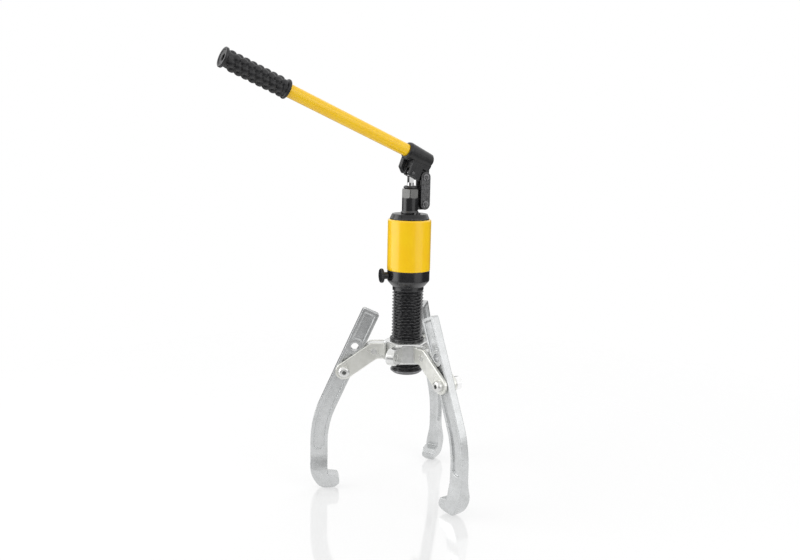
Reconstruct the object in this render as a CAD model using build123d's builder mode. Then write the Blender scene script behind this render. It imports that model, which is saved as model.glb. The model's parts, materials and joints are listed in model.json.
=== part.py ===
"""Hydraulic three-jaw gear puller, millimetres, +Z up.

The origin is on the ram axis, on the level floor that the three jaw feet stand on.
One jaw points along +Y, the other two stand 120 degrees to each side of it.
"""
from build123d import *
from math import atan2, cos, hypot, radians, sin
import os

os.makedirs("parts", exist_ok=True)

# ---------------------------------------------------------------- driving dimensions

# Where things point, seen from above, counter-clockwise from +X
ARM_AZIMUTHS = {"back": 90.0, "left": 210.0, "right": 330.0}
SPARE_LUG_AZIMUTH = 270.0
LEVER_AZIMUTH = 236.4
VALVE_AZIMUTH = 221.4
FILLER_AZIMUTH = 326.4

# Heights of the stations up the ram axis
NOSE_Z = 190.0
THREAD_START_Z = 197.0
HUB_BOTTOM_Z = 209.0
HUB_TOP_Z = 240.5
LOCK_RING_TOP_Z = 245.5
THREAD_END_Z = 322.0
NECK_Z = 326.5
SHOULDER_Z = 335.0
SLEEVE_BOTTOM_Z = 351.5
SPIGOT_TOP_Z = 358.0
CYLINDER_TOP_Z = 420.0
SLEEVE_TOP_Z = 429.0
CAP_TOP_Z = 437.5
PUMP_COLLAR_TOP_Z = 441.0
PUMP_TOP_Z = 461.3
GLAND_TOP_Z = 474.8
WIPER_TOP_Z = 479.6

# Gaps between neighbours
PRESS_GAP = 0.02
SEAL_GAP = 0.03
PIN_CLEARANCE = 0.05
RUN_CLEARANCE = 0.06
END_GAP = 0.1

# Threaded barrel
THREAD_R = 24.0
THREAD_PITCH = 5.0
THREAD_DEPTH = 2.6
NOSE_R = 23.2
NECK_R = 25.4
THREAD_CREST = (0.8, 1.6)
THREAD_ROOT = (3.1, 3.8)
NOSE_BEVEL = 1.6
STOP_GROOVE_R = 21.8
STOP_RING_R = 24.9
STOP_RING_MOUTH = 5.0
STOP_RING_BEVEL = 0.4
LOCK_RING_R = 26.4
LOCK_RING_BEVEL = 0.8
LOCK_SLOT_AZIMUTH = 23.4
LOCK_SLOT_WIDTH = 3.0
LOCK_SLOT_DEPTH = 2.0
STOP_GROOVE_LOW_Z = 192.6
STOP_GROOVE_HIGH_Z = 195.1
BASE_R = 32.5
CYLINDER_WALL_R = 22.5
CYLINDER_BORE_R = 17.0
ROD_BORE_R = 13.05
ROD_BORE_TOP_Z = 204.0
SPIGOT_R = 29.95
SLEEVE_RING_Z = 354.7
WIPER_SEAT_R = 16.0
WIPER_SEAT_LOW_Z = 193.0
WIPER_SEAT_TOP_Z = 198.0

# Ram
ROD_R = 13.0
PISTON_R = 16.95
PISTON_BOTTOM_Z = 382.0
PISTON_TOP_Z = 398.0
SPRING_WIRE_R = 1.3
SPRING_COILS = 24
SPRING_COIL_R = 15.15
RAM_TIP_Z = 189.5
TIP_T = 2.0
TIP_CENTRE_R = 2.5
TIP_SHANK_R = 5.0
TIP_SHANK_H = 12.0
TIP_SHANK_FREE = 0.5
ROD_BEVEL = 0.8
PISTON_BEVEL = 0.6
PISTON_SEAL_R = 14.0
PISTON_SEAL_H = 5.0
SEAL_MIDDLE_Z = (PISTON_BOTTOM_Z + PISTON_TOP_Z) / 2

# Sleeve and cap
SLEEVE_R = 33.0
SLEEVE_BORE_R = 30.0
SLEEVE_LIP_R = 28.0
SLEEVE_LIP_T = 3.0
SLEEVE_TOP_ROUND = 2.6
SLEEVE_FOOT_ROUND = 0.6
BLADDER_T = 1.5
BLADDER_WALL_GAP = 0.3
CAP_DISC_R = 27.9
CAP_FLANGE_R = 29.9
CAP_FLANGE_T = 1.5
CAP_TOP_R = 26.7
CAP_TOP_ROUND = 1.2
CAP_SPIGOT_BEVEL = 0.8
CAP_SPIGOT_BOTTOM_Z = 402.0
CAP_SPIGOT_R = 16.97
CAP_SPIGOT_RING_Z = 411.0
CAP_DISC_RING_Z = 424.5
O_RING_SECTION = 2.0
OIL_WAY_R = 1.2
FILLER_X = 20.5
FILLER_R = 3.5
FILLER_L = 10.0
FILLER_HEAD_R = 4.9
FILLER_HEAD_H = 2.6
FILLER_HEAD_ROUND = 0.7
FILLER_SOCKET_HALF = 2.0
FILLER_SOCKET_DEPTH = 3.0
VALVE_CIRCLE_R = 10.5
VALVE_BORE_R = 3.2
VALVE_BORE_H = 16.0
VALVE_BALL_R = 2.5
VALVE_PLUG_H = 4.0
VALVE_SPRING_WIRE_R = 0.35
VALVE_SPRING_R = 2.3
VALVE_SPRING_COILS = 5
VALVE_OIL_WAY_TOP_Z = 423.0

# Small hexagon sockets, half across flats
SMALL_SOCKET_HALF = 1.5

# Release valve in the base ring
VALVE_Z = 343.2
VALVE_SEAT_X = 19.5
VALVE_STEM_R = 3.9
VALVE_POINT_R = 1.2
VALVE_SEAT_GAP = 0.5
KNOB_NECK_GAP = 0.4
KNOB_NECK_R = 5.5
KNOB_X = 40.5
KNOB_R = 11.0
KNOB_THICK = 4.5
KNOB_ROUND = 1.2
KNOB_FLUTES = 24
KNOB_FLUTE_R = 0.9

# Pump on top of the cap
PUMP_R = 12.2
PUMP_COLLAR_R = 13.5
PUMP_COLLAR_BEVEL = 0.8
PUMP_SPIGOT_R = 8.98
PUMP_SPIGOT_BOTTOM_Z = 426.0
PUMP_SEAL_Z = 449.0
GLAND_SPIGOT_Z = 453.0
GLAND_FLATS = 24.0
GLAND_TURN = -3.0
GLAND_CORNER_BEVEL = 1.2
GLAND_WIPER_R = 10.3
GLAND_WIPER_BEVEL = 1.6
GLAND_SPIGOT_R = 7.95
PLUNGER_R = 5.0
PLUNGER_BOTTOM_Z = 443.0
PLUNGER_BEVEL = 0.6
PLUNGER_EYE_R = 5.5
PLUNGER_TONGUE = 6.0
PLUNGER_TONGUE_WIDTH = 7.8
PLUNGER_TONGUE_L = 16.0

# Lever linkage, in the lever's upright plane: x outward along the handle, z up
PLUNGER_PIN_Z = 498.2
LINK_X = -23.0
LINK_UPPER_Z = 492.0
LINK_LOWER_Z = 451.5
LINK_PLATE = 4.0
LINK_WIDTH = 17.0
LINK_GAP = 7.5
LUG_THICK = 7.0
SMALL_PIN_R = 3.0
LINK_PIN_HALF = 9.7
PIN_HEAD_R = 4.4
PIN_HEAD_H = 1.6
PIN_HEAD_ROUND = 0.8
PLUNGER_PIN_HALF = 7.7
CLIP_INSET = 1.0
CLIP_T = 0.8
CLIP_R = 4.9
CLIP_GROOVE_DEPTH = 0.5
CLIP_MOUTH = 3.0
LINK_EDGE_ROUND = 0.7
OPEN_PIVOT_CLEARANCE = 0.6

# Lever socket and handle; s runs along the handle's own axis from where it crosses the ram axis
HANDLE_CROSS_Z = 529.0
HANDLE_RISE = 22.1
SOCKET_MOUTH_S = 9.5
SOCKET_REAR_S = -37.5
SOCKET_BORE_END_S = -28.0
SOCKET_REAR_R = 11.3
SOCKET_FRONT_R = 13.6
SOCKET_MOUTH_R = 11.6
TUBE_R = 9.4
TUBE_BORE_R = 7.4
TUBE_START_S = -27.5
TUBE_END_S = 309.0
TUBE_BEVEL = 0.5
GRIP_START_S = 217.5
GRIP_END_S = 315.5
GRIP_R = 12.2
GRIP_FLANGE_R = 14.0
GRIP_DISH_R = 7.0
GRIP_DISH_DEPTH = 2.5
CHEEK_HALF = 8.0
CHEEK_FRONT_S = -4.0
CHEEK_REAR_S = -24.5
CHEEK_TOP = -7.0
CHEEK_BOTTOM = -33.5
SIDE_BOSS = 8.0
SIDE_BOSS_FRONT_S = 3.5
SIDE_BOSS_TOP = -4.0
LEVER_EYE_R = 9.0
LEVER_TRIM = -60.0
SOCKET_TRIM = 20.0
CHEEK_LINK_GAP = 0.7
SLOT_SIDE_GAP = 0.4
SLOT_END_ROOM = 8.0
SLOT_TOP_ROOM = 7.0
CLAMP_SCREW_S = -18.0
CLAMP_SCREW_R = 2.5
CLAMP_SCREW_L = 3.3
CLAMP_SCREW_BEVEL = 0.4
CLAMP_SOCKET_DEPTH = 2.0

# Hub
HUB_FLATS = 63.5
HUB_PIN_R = 52.5
HUB_PIN_Z = 225.0
HUB_LUG_THICK = 12.6
HUB_LUG_END_R = 12.5
HUB_PIN_RADIUS = 4.75
HUB_BEVEL = 1.2
HUB_LUG_CORNER_R = 1.5
HUB_PIN_PROUD = 0.5
HUB_PIN_ROUND = 0.7

# Link arms, in the arm's upright plane: x outward, z up
JAW_PIN_X = 98.0
JAW_PIN_Z = 193.5
ARM_PLATE = 5.4
ARM_SIDE_GAP = 0.3
ARM_INNER_X = 35.0
ARM_TOP_Z = 238.0
ARM_BOTTOM_Z = 213.3
ARM_TOP_CORNER_X = 57.0
ARM_BOTTOM_CORNER_X = 47.5
ARM_END_R = 13.0
ARM_BEND_R = 9.0
ARM_CORNER_R = 1.5
ARM_EDGE_BEVEL = 0.6
BOLT_R = 6.0
BOLT_HEAD_R = 8.8
BOLT_HEAD_H = 7.5
BOLT_HEAD_ROUND = 4.5
BOLT_TIP_BEVEL = 1.0
BOLT_TIP_PROUD = 2.0
BOLT_SOCKET_HALF = 3.0
BOLT_SOCKET_DEPTH = 4.0
NUT_FLATS = 19.0
NUT_H = 10.0
NUT_TURN = 15.0
CORNER_TURNDOWN = 1.13
WASHER_R = 11.5
WASHER_T = 2.0
WASHER_BORE_GAP = 0.3
WASHER_ROUND = 0.5

# Jaws
JAW_WIDTH = 27.0
JAW_THICK = 12.6
JAW_WEB = 7.4
JAW_LEAN = 24.2
JAW_ABOVE_PIN = 103.0
JAW_SECOND_HOLE = 41.0
JAW_BELOW_PIN = 60.0
JAW_BEND_R = 150.0
JAW_RIM = 5.2
FOOT_HALF = 11.3
FOOT_TOP_Z = 24.0
FOOT_FLARE_Z = 62.0
FOOT_SOLE_HALF = 3.0
FOOT_TOP_DROP = 1.0
FOOT_BOWL_BULGE = (0.86, 0.4)
HEEL_Z = 44.0
HEEL_MIDDLE = (7.6, 14.0)
SOLE_START = (21.0, 0.6)
SOLE_END = 26.0
TOE_X = 103.5
TOE_SOLE = (8.0, 2.0)
TOE_FRONT = (0.5, 9.5)
TOE_MIDDLE_Z = 15.0
TOE_TOP_X = 3.0
RECESS_BOTTOM_Z = 66.0
RECESS_TOP_GAP = 6.0
RECESS_END_R = 7.5
JAW_BOSS_R = 13.1
JAW_CORNER_R = 3.5
FOOT_BOWL_Z = 14.0
FOOT_JOIN_Z = 72.0
JAW_TRIM_TOP_Z = 300.0
JAW_TRIM_X = 200.0


def save(piece, name):
    """Label a finished piece and write its STEP file."""
    piece.part.label = name
    export_step(piece.part, f"parts/{name}.step")


def turned(piece, azimuth):
    """A piece modelled in the XZ plane, swung round the ram axis to its azimuth."""
    with BuildPart() as placed:
        add(piece.part, rotation=(0, 0, azimuth))
    return placed


def ring(inner, outer, bottom, top, bevel=0.0):
    """A plain ring about the ram axis, with an optional bevel on its outer edges."""
    with BuildPart() as piece:
        with BuildSketch(Plane.XY.offset(bottom)):
            Circle(outer)
            Circle(inner, mode=Mode.SUBTRACT)
        extrude(amount=top - bottom)
        if bevel:
            rims = piece.edges().filter_by(GeomType.CIRCLE).filter_by(lambda e: e.radius > inner + PRESS_GAP / 2)
            chamfer(rims, bevel)
    return piece


def o_ring_groove(outer, z):
    """The square groove cut for an O-ring in an outer wall."""
    return ring(outer - O_RING_SECTION, outer + 1, z - O_RING_SECTION / 2, z + O_RING_SECTION / 2)


# ---------------------------------------------------------------- hub

def make_hub():
    """Cast crosshead: a hexagonal boss with four lugs, one of them spare."""
    with BuildPart() as hub:
        with BuildSketch(Plane.XY.offset(HUB_BOTTOM_Z)):
            RegularPolygon(HUB_FLATS / 2, 6, major_radius=False, rotation=30)
        extrude(amount=HUB_TOP_Z - HUB_BOTTOM_Z)
        chamfer(hub.faces().filter_by(Axis.Z).edges(), HUB_BEVEL)
        for azimuth in [*ARM_AZIMUTHS.values(), SPARE_LUG_AZIMUTH]:
            lug_plane = Plane.XZ.rotated((0, 0, azimuth))
            with BuildSketch(lug_plane):
                with Locations((HUB_PIN_R, HUB_PIN_Z)):
                    Circle(HUB_LUG_END_R)
                with Locations((HUB_PIN_R / 2 + 8, HUB_PIN_Z)):
                    Rectangle(HUB_PIN_R - 16, 2 * HUB_LUG_END_R)
            extrude(amount=HUB_LUG_THICK / 2, both=True)
        inner_corners = hub.edges().filter_by(Axis.Z).filter_by(
            lambda e: hypot(e.center().X, e.center().Y) < HUB_FLATS / 2 + 4 and abs(e.center().Z - HUB_PIN_Z) < 8
        )
        fillet(inner_corners, HUB_LUG_CORNER_R)
        for azimuth in [*ARM_AZIMUTHS.values(), SPARE_LUG_AZIMUTH]:
            lug_plane = Plane.XZ.rotated((0, 0, azimuth))
            with BuildSketch(lug_plane):
                with Locations((HUB_PIN_R, HUB_PIN_Z)):
                    Circle(HUB_PIN_RADIUS + PIN_CLEARANCE)
            extrude(amount=HUB_LUG_THICK, both=True, mode=Mode.SUBTRACT)
        with BuildSketch(Plane.XY.offset(HUB_BOTTOM_Z)):
            Circle(THREAD_R + RUN_CLEARANCE)
        extrude(amount=HUB_TOP_Z - HUB_BOTTOM_Z, mode=Mode.SUBTRACT)
    return hub


# ---------------------------------------------------------------- link arms

def tangent_point(start, centre, radius, side):
    """Where a line from start touches a circle; side is +1 for the left touch, -1 for the right."""
    reach = hypot(centre[0] - start[0], centre[1] - start[1])
    heading = atan2(centre[1] - start[1], centre[0] - start[0])
    length = (reach ** 2 - radius ** 2) ** 0.5
    turn = heading + side * atan2(radius, length)
    return (start[0] + length * cos(turn), start[1] + length * sin(turn))


def make_arm_plates():
    """Two dog-leg plates that straddle the hub lug and the jaw."""
    pin = (JAW_PIN_X, JAW_PIN_Z)
    top_corner = (ARM_TOP_CORNER_X, ARM_TOP_Z)
    bottom_corner = (ARM_BOTTOM_CORNER_X, ARM_BOTTOM_Z)
    top_touch = tangent_point(top_corner, pin, ARM_END_R, 1)
    bottom_touch = tangent_point(bottom_corner, pin, ARM_END_R, -1)
    slope = atan2(top_corner[1] - top_touch[1], top_corner[0] - top_touch[0])
    tip = (pin[0] - ARM_END_R * cos(slope), pin[1] - ARM_END_R * sin(slope))
    inner_face = HUB_LUG_THICK / 2 + ARM_SIDE_GAP
    with BuildPart() as plates:
        for side in (1, -1):
            with BuildSketch(Plane.XZ.offset(side * (inner_face + ARM_PLATE / 2))):
                with BuildLine():
                    Polyline(bottom_touch, bottom_corner, (ARM_INNER_X, ARM_BOTTOM_Z),
                             (ARM_INNER_X, ARM_TOP_Z), top_corner, top_touch)
                    ThreePointArc(top_touch, tip, bottom_touch)
                make_face()
                with Locations((HUB_PIN_R, HUB_PIN_Z)):
                    Circle(HUB_PIN_RADIUS, mode=Mode.SUBTRACT)
                with Locations(pin):
                    Circle(BOLT_R + SEAL_GAP, mode=Mode.SUBTRACT)
            extrude(amount=ARM_PLATE / 2, both=True)
        bends = plates.edges().filter_by(Axis.Y).filter_by(
            lambda e: min(abs(e.center().X - ARM_TOP_CORNER_X), abs(e.center().X - ARM_BOTTOM_CORNER_X)) < 0.1
        )
        fillet(bends, ARM_BEND_R)
        inner_corners = plates.edges().filter_by(Axis.Y).filter_by(lambda e: abs(e.center().X - ARM_INNER_X) < 0.1)
        fillet(inner_corners, ARM_CORNER_R)
        flat_sides = plates.faces().filter_by(Axis.Y)
        outline_edges = flat_sides.edges().filter_by(
            lambda e: e.geom_type == GeomType.LINE or e.radius > BOLT_R + 1
        )
        chamfer(outline_edges, ARM_EDGE_BEVEL)
    return plates


def make_hub_pin():
    """Rivet pin through the plates and the lug, ends lightly rounded and just proud of the plates."""
    half = HUB_LUG_THICK / 2 + ARM_SIDE_GAP + ARM_PLATE + HUB_PIN_PROUD
    with BuildPart() as pin:
        with BuildSketch(Plane.XZ):
            with Locations((HUB_PIN_R, HUB_PIN_Z)):
                Circle(HUB_PIN_RADIUS - PRESS_GAP / 2)
        extrude(amount=half, both=True)
        fillet(pin.edges().filter_by(GeomType.CIRCLE), HUB_PIN_ROUND)
    return pin


def make_jaw_bolt(head_side):
    """Round-headed bolt through both plates and the jaw; head_side is +1 or -1 along Y."""
    face = HUB_LUG_THICK / 2 + ARM_SIDE_GAP + ARM_PLATE
    shank_end = face + WASHER_T + NUT_H + BOLT_TIP_PROUD
    shank_start = face + BOLT_HEAD_H / 2
    with BuildPart() as bolt:
        with BuildSketch(Plane.XZ.offset(-head_side * face)):
            with Locations((JAW_PIN_X, JAW_PIN_Z)):
                Circle(BOLT_HEAD_R)
        extrude(amount=-head_side * BOLT_HEAD_H)
        outer_rim = bolt.edges().filter_by(GeomType.CIRCLE).sort_by(Axis.Y)[-1 if head_side > 0 else 0]
        fillet(outer_rim, BOLT_HEAD_ROUND)
        with BuildSketch(Plane.XZ.offset(-head_side * shank_start)):
            with Locations((JAW_PIN_X, JAW_PIN_Z)):
                Circle(BOLT_R)
        extrude(amount=head_side * (shank_end + shank_start))
        shank_tip = bolt.edges().filter_by(GeomType.CIRCLE).sort_by(Axis.Y)[0 if head_side > 0 else -1]
        chamfer(shank_tip, BOLT_TIP_BEVEL)
        with BuildSketch(Plane.XZ.offset(-head_side * (face + BOLT_HEAD_H))):
            with Locations((JAW_PIN_X, JAW_PIN_Z)):
                RegularPolygon(BOLT_SOCKET_HALF, 6, major_radius=False)
        extrude(amount=head_side * BOLT_SOCKET_DEPTH, mode=Mode.SUBTRACT)
    return bolt


def make_jaw_nut(head_side):
    """Hexagon nut on the shank end, its corners turned down."""
    face = HUB_LUG_THICK / 2 + ARM_SIDE_GAP + ARM_PLATE + WASHER_T
    with BuildPart() as nut:
        with BuildSketch(Plane.XZ.offset(head_side * face)):
            with Locations((JAW_PIN_X, JAW_PIN_Z)):
                RegularPolygon(NUT_FLATS / 2, 6, major_radius=False, rotation=NUT_TURN)
        extrude(amount=head_side * NUT_H)
        with BuildSketch(Plane.XZ.offset(head_side * face)):
            with Locations((JAW_PIN_X, JAW_PIN_Z)):
                Circle(NUT_FLATS / 2 * CORNER_TURNDOWN)
        extrude(amount=head_side * NUT_H, mode=Mode.INTERSECT)
        with BuildSketch(Plane.XZ.offset(head_side * face)):
            with Locations((JAW_PIN_X, JAW_PIN_Z)):
                Circle(BOLT_R)
        extrude(amount=head_side * NUT_H, mode=Mode.SUBTRACT)
    return nut


def make_jaw_washer(head_side):
    """Plain washer between the nut and the plate."""
    face = HUB_LUG_THICK / 2 + ARM_SIDE_GAP + ARM_PLATE
    with BuildPart() as washer:
        with BuildSketch(Plane.XZ.offset(head_side * face)):
            with Locations((JAW_PIN_X, JAW_PIN_Z)):
                Circle(WASHER_R)
                Circle(BOLT_R + WASHER_BORE_GAP, mode=Mode.SUBTRACT)
        extrude(amount=head_side * WASHER_T)
        rims = washer.edges().filter_by(GeomType.CIRCLE).filter_by(lambda e: e.radius > WASHER_R - 0.1)
        fillet(rims, WASHER_ROUND)
    return washer


# ---------------------------------------------------------------- jaws

LEAN = radians(JAW_LEAN)
UP = (-sin(LEAN), cos(LEAN))
OUT = (cos(LEAN), sin(LEAN))
BEND_TOP = (JAW_PIN_X - UP[0] * JAW_BELOW_PIN, JAW_PIN_Z - UP[1] * JAW_BELOW_PIN)
LEG_X = BEND_TOP[0] + JAW_BEND_R * (1 - cos(LEAN))
LEG_TOP_Z = BEND_TOP[1] - JAW_BEND_R * sin(LEAN)
BEND_CENTRE = (LEG_X - JAW_BEND_R, LEG_TOP_Z)


def on_jaw(up, out):
    """A point on the jaw's straight upper part, up along it and out across it from the jaw pin."""
    return (JAW_PIN_X + UP[0] * up + OUT[0] * out, JAW_PIN_Z + UP[1] * up + OUT[1] * out)


def on_bend(angle, out):
    """A point on the jaw's bend; angle is 0 at the upright leg and JAW_LEAN at the straight part."""
    radius = JAW_BEND_R + out
    return (BEND_CENTRE[0] + radius * cos(radians(angle)), BEND_CENTRE[1] + radius * sin(radians(angle)))


def draw_strip(top, inset, leg_end_z):
    """Draw the outline of the jaw's long strip, inset from its edges, in the current line builder."""
    half = JAW_WIDTH / 2 - inset
    for side in (half, -half):
        Line(on_jaw(top, side), on_bend(JAW_LEAN, side))
        ThreePointArc(on_bend(JAW_LEAN, side), on_bend(JAW_LEAN / 2, side), on_bend(0, side))
        Line(on_bend(0, side), (LEG_X + side, leg_end_z))
    Line(on_jaw(top, -half), on_jaw(top, half))
    Line((LEG_X + half, leg_end_z), (LEG_X - half, leg_end_z))


def make_jaw():
    """Forged jaw: a leaning I-section strip that bends upright and ends in a flared hook."""
    leg_outer = LEG_X + JAW_WIDTH / 2
    leg_inner = LEG_X - JAW_WIDTH / 2
    heel_middle = (leg_outer - HEEL_MIDDLE[0], HEEL_MIDDLE[1])
    sole_start = (leg_outer - SOLE_START[0], SOLE_START[1])
    toe_sole = (TOE_X + TOE_SOLE[0], TOE_SOLE[1])
    toe_front = (TOE_X + TOE_FRONT[0], TOE_FRONT[1])
    with BuildPart() as jaw:
        with BuildSketch(Plane.XZ):
            with BuildLine():
                draw_strip(JAW_ABOVE_PIN, 0, HEEL_Z)
            make_face()
        extrude(amount=JAW_THICK / 2, both=True)
        top_corners = jaw.edges().filter_by(Axis.Y).sort_by(Axis.Z)[-2:]
        fillet(top_corners, JAW_CORNER_R)
        with BuildSketch(Plane.XZ):
            with BuildLine():
                Line((leg_outer, FOOT_JOIN_Z), (leg_outer, HEEL_Z))
                ThreePointArc((leg_outer, HEEL_Z), heel_middle, sole_start)
                Polyline(sole_start, (leg_outer - SOLE_END, 0), toe_sole, toe_front, (TOE_X, TOE_MIDDLE_Z),
                         (TOE_X + TOE_TOP_X, FOOT_TOP_Z - FOOT_TOP_DROP), (leg_inner, FOOT_TOP_Z + FOOT_TOP_DROP),
                         (leg_inner, FOOT_JOIN_Z), (leg_outer, FOOT_JOIN_Z))
            make_face()
        extrude(amount=FOOT_HALF, both=True)
        with BuildSketch(Plane.YZ):
            with BuildLine():
                Line((FOOT_SOLE_HALF, 0), (-FOOT_SOLE_HALF, 0))
                Line((JAW_THICK / 2, JAW_TRIM_TOP_Z), (-JAW_THICK / 2, JAW_TRIM_TOP_Z))
                for side in (1, -1):
                    flare_top = (side * JAW_THICK / 2, FOOT_FLARE_Z)
                    flare_foot = (side * FOOT_HALF, FOOT_TOP_Z)
                    foot_side = (side * FOOT_HALF, FOOT_BOWL_Z)
                    Line((side * JAW_THICK / 2, JAW_TRIM_TOP_Z), flare_top)
                    Spline(flare_top, flare_foot, tangents=[(0, -1), (0, -1)])
                    Line(flare_foot, foot_side)
                    bulge = (side * FOOT_BOWL_BULGE[0] * FOOT_HALF, FOOT_BOWL_BULGE[1] * FOOT_BOWL_Z)
                    ThreePointArc(foot_side, bulge, (side * FOOT_SOLE_HALF, 0))
            make_face()
        extrude(amount=JAW_TRIM_X, mode=Mode.INTERSECT)
        recess_depth = (JAW_THICK - JAW_WEB) / 2
        for side in (1, -1):
            with BuildSketch(Plane.XZ.offset(side * JAW_THICK / 2)) as recess:
                with BuildLine():
                    draw_strip(JAW_ABOVE_PIN - RECESS_TOP_GAP, JAW_RIM, RECESS_BOTTOM_Z)
                make_face()
                end_corners = recess.vertices().sort_by(Axis.Y)[:2]
                fillet(end_corners, RECESS_END_R)
                for up in (0, JAW_SECOND_HOLE):
                    with Locations(on_jaw(up, 0)):
                        Circle(JAW_BOSS_R, mode=Mode.SUBTRACT)
            extrude(amount=-side * recess_depth, mode=Mode.SUBTRACT)
        for up in (0, JAW_SECOND_HOLE):
            with BuildSketch(Plane.XZ):
                with Locations(on_jaw(up, 0)):
                    Circle(BOLT_R + PIN_CLEARANCE)
            extrude(amount=JAW_THICK, both=True, mode=Mode.SUBTRACT)
    return jaw


# ---------------------------------------------------------------- hydraulic unit

def make_barrel():
    """Barrel with ring-shaped thread grooves, base ring and cylinder, turned in one piece."""
    root = THREAD_R - THREAD_DEPTH
    turns = int((THREAD_END_Z - THREAD_START_Z) / THREAD_PITCH)
    outline = [(ROD_BORE_R, NOSE_Z), (NOSE_R - NOSE_BEVEL, NOSE_Z), (NOSE_R, NOSE_Z + NOSE_BEVEL),
               (NOSE_R, STOP_GROOVE_LOW_Z), (STOP_GROOVE_R, STOP_GROOVE_LOW_Z),
               (STOP_GROOVE_R, STOP_GROOVE_HIGH_Z), (NOSE_R, STOP_GROOVE_HIGH_Z), (NOSE_R, THREAD_START_Z)]
    for turn in range(turns):
        z = THREAD_START_Z + turn * THREAD_PITCH
        outline += [(THREAD_R, z + rise) for rise in THREAD_CREST]
        outline += [(root, z + rise) for rise in THREAD_ROOT]
    z = THREAD_START_Z + turns * THREAD_PITCH
    outline += [(THREAD_R, z + THREAD_CREST[0]), (THREAD_R, NECK_Z), (NECK_R, NECK_Z), (BASE_R, SHOULDER_Z),
                (BASE_R, SLEEVE_BOTTOM_Z), (SPIGOT_R, SLEEVE_BOTTOM_Z), (SPIGOT_R, SPIGOT_TOP_Z),
                (CYLINDER_WALL_R, SPIGOT_TOP_Z), (CYLINDER_WALL_R, CYLINDER_TOP_Z),
                (CYLINDER_BORE_R, CYLINDER_TOP_Z), (CYLINDER_BORE_R, ROD_BORE_TOP_Z),
                (ROD_BORE_R, ROD_BORE_TOP_Z), (ROD_BORE_R, WIPER_SEAT_TOP_Z),
                (WIPER_SEAT_R, WIPER_SEAT_TOP_Z), (WIPER_SEAT_R, WIPER_SEAT_LOW_Z),
                (ROD_BORE_R, WIPER_SEAT_LOW_Z)]
    groove = o_ring_groove(SPIGOT_R, SLEEVE_RING_Z)
    with BuildPart() as barrel:
        with BuildSketch(Plane.XZ):
            with BuildLine():
                Polyline(*outline, close=True)
            make_face()
        revolve(axis=Axis.Z)
        add(groove.part, mode=Mode.SUBTRACT)
        with BuildSketch(Plane.YZ.rotated((0, 0, VALVE_AZIMUTH)).offset(VALVE_SEAT_X)):
            with Locations((0, VALVE_Z)):
                Circle(VALVE_STEM_R + RUN_CLEARANCE)
        extrude(amount=BASE_R, mode=Mode.SUBTRACT)
    return barrel


def make_lock_ring():
    """Threaded ring that locks the barrel in the hub, with two spanner slots."""
    lock_ring = ring(THREAD_R + RUN_CLEARANCE, LOCK_RING_R, HUB_TOP_Z, LOCK_RING_TOP_Z,
                     LOCK_RING_BEVEL)
    with BuildPart() as slotted:
        add(lock_ring.part)
        with BuildSketch(Plane.XY.offset(LOCK_RING_TOP_Z)):
            with PolarLocations(LOCK_RING_R, 2, start_angle=LOCK_SLOT_AZIMUTH):
                Rectangle(2 * LOCK_SLOT_WIDTH, LOCK_SLOT_WIDTH)
        extrude(amount=-LOCK_SLOT_DEPTH, mode=Mode.SUBTRACT)
    return slotted


def make_stop_ring():
    """Open snap ring in the nose groove that keeps the hub on the thread."""
    closed = ring(STOP_GROOVE_R + PIN_CLEARANCE, STOP_RING_R, STOP_GROOVE_LOW_Z + PIN_CLEARANCE,
                  STOP_GROOVE_HIGH_Z - PIN_CLEARANCE, STOP_RING_BEVEL)
    with BuildPart() as snap:
        add(closed.part)
        with BuildSketch(Plane.XY.offset(STOP_GROOVE_LOW_Z)):
            with Locations((0, STOP_RING_R)):
                Rectangle(STOP_RING_MOUTH, 2 * STOP_RING_MOUTH)
        extrude(amount=2 * (STOP_GROOVE_HIGH_Z - STOP_GROOVE_LOW_Z), mode=Mode.SUBTRACT)
    return snap


def make_ram():
    """Rod and piston in one piece, with a seal groove and a seat for the tip."""
    rod_end = RAM_TIP_Z + TIP_T
    groove_bottom = SEAL_MIDDLE_Z - PISTON_SEAL_H / 2
    groove_top = SEAL_MIDDLE_Z + PISTON_SEAL_H / 2
    with BuildPart() as ram:
        with BuildSketch(Plane.XZ):
            with BuildLine():
                Polyline((0, rod_end), (ROD_R - ROD_BEVEL, rod_end), (ROD_R, rod_end + ROD_BEVEL),
                         (ROD_R, PISTON_BOTTOM_Z), (PISTON_R - PISTON_BEVEL, PISTON_BOTTOM_Z),
                         (PISTON_R, PISTON_BOTTOM_Z + PISTON_BEVEL), (PISTON_R, groove_bottom),
                         (PISTON_SEAL_R, groove_bottom), (PISTON_SEAL_R, groove_top), (PISTON_R, groove_top),
                         (PISTON_R, PISTON_TOP_Z - PISTON_BEVEL), (PISTON_R - PISTON_BEVEL, PISTON_TOP_Z),
                         (0, PISTON_TOP_Z), close=True)
            make_face()
        revolve(axis=Axis.Z)
        with BuildSketch(Plane.XY.offset(rod_end)):
            Circle(TIP_SHANK_R + PRESS_GAP)
        extrude(amount=TIP_SHANK_H, mode=Mode.SUBTRACT)
    return ram


def make_ram_tip():
    """Hardened tip with a centre hole, pressed into the end of the rod."""
    shank_top = RAM_TIP_Z + TIP_T + TIP_SHANK_H - TIP_SHANK_FREE
    with BuildPart() as tip:
        with BuildSketch(Plane.XZ):
            with BuildLine():
                Polyline((0, RAM_TIP_Z + 2 * TIP_T), (TIP_CENTRE_R, RAM_TIP_Z + 0.75 * TIP_T),
                         (TIP_CENTRE_R, RAM_TIP_Z), (ROD_R - TIP_T, RAM_TIP_Z),
                         (ROD_R - TIP_T / 2, RAM_TIP_Z + TIP_T / 2), (ROD_R - TIP_T / 2, RAM_TIP_Z + TIP_T),
                         (TIP_SHANK_R, RAM_TIP_Z + TIP_T), (TIP_SHANK_R, shank_top), (0, shank_top), close=True)
            make_face()
        revolve(axis=Axis.Z)
    return tip


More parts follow.
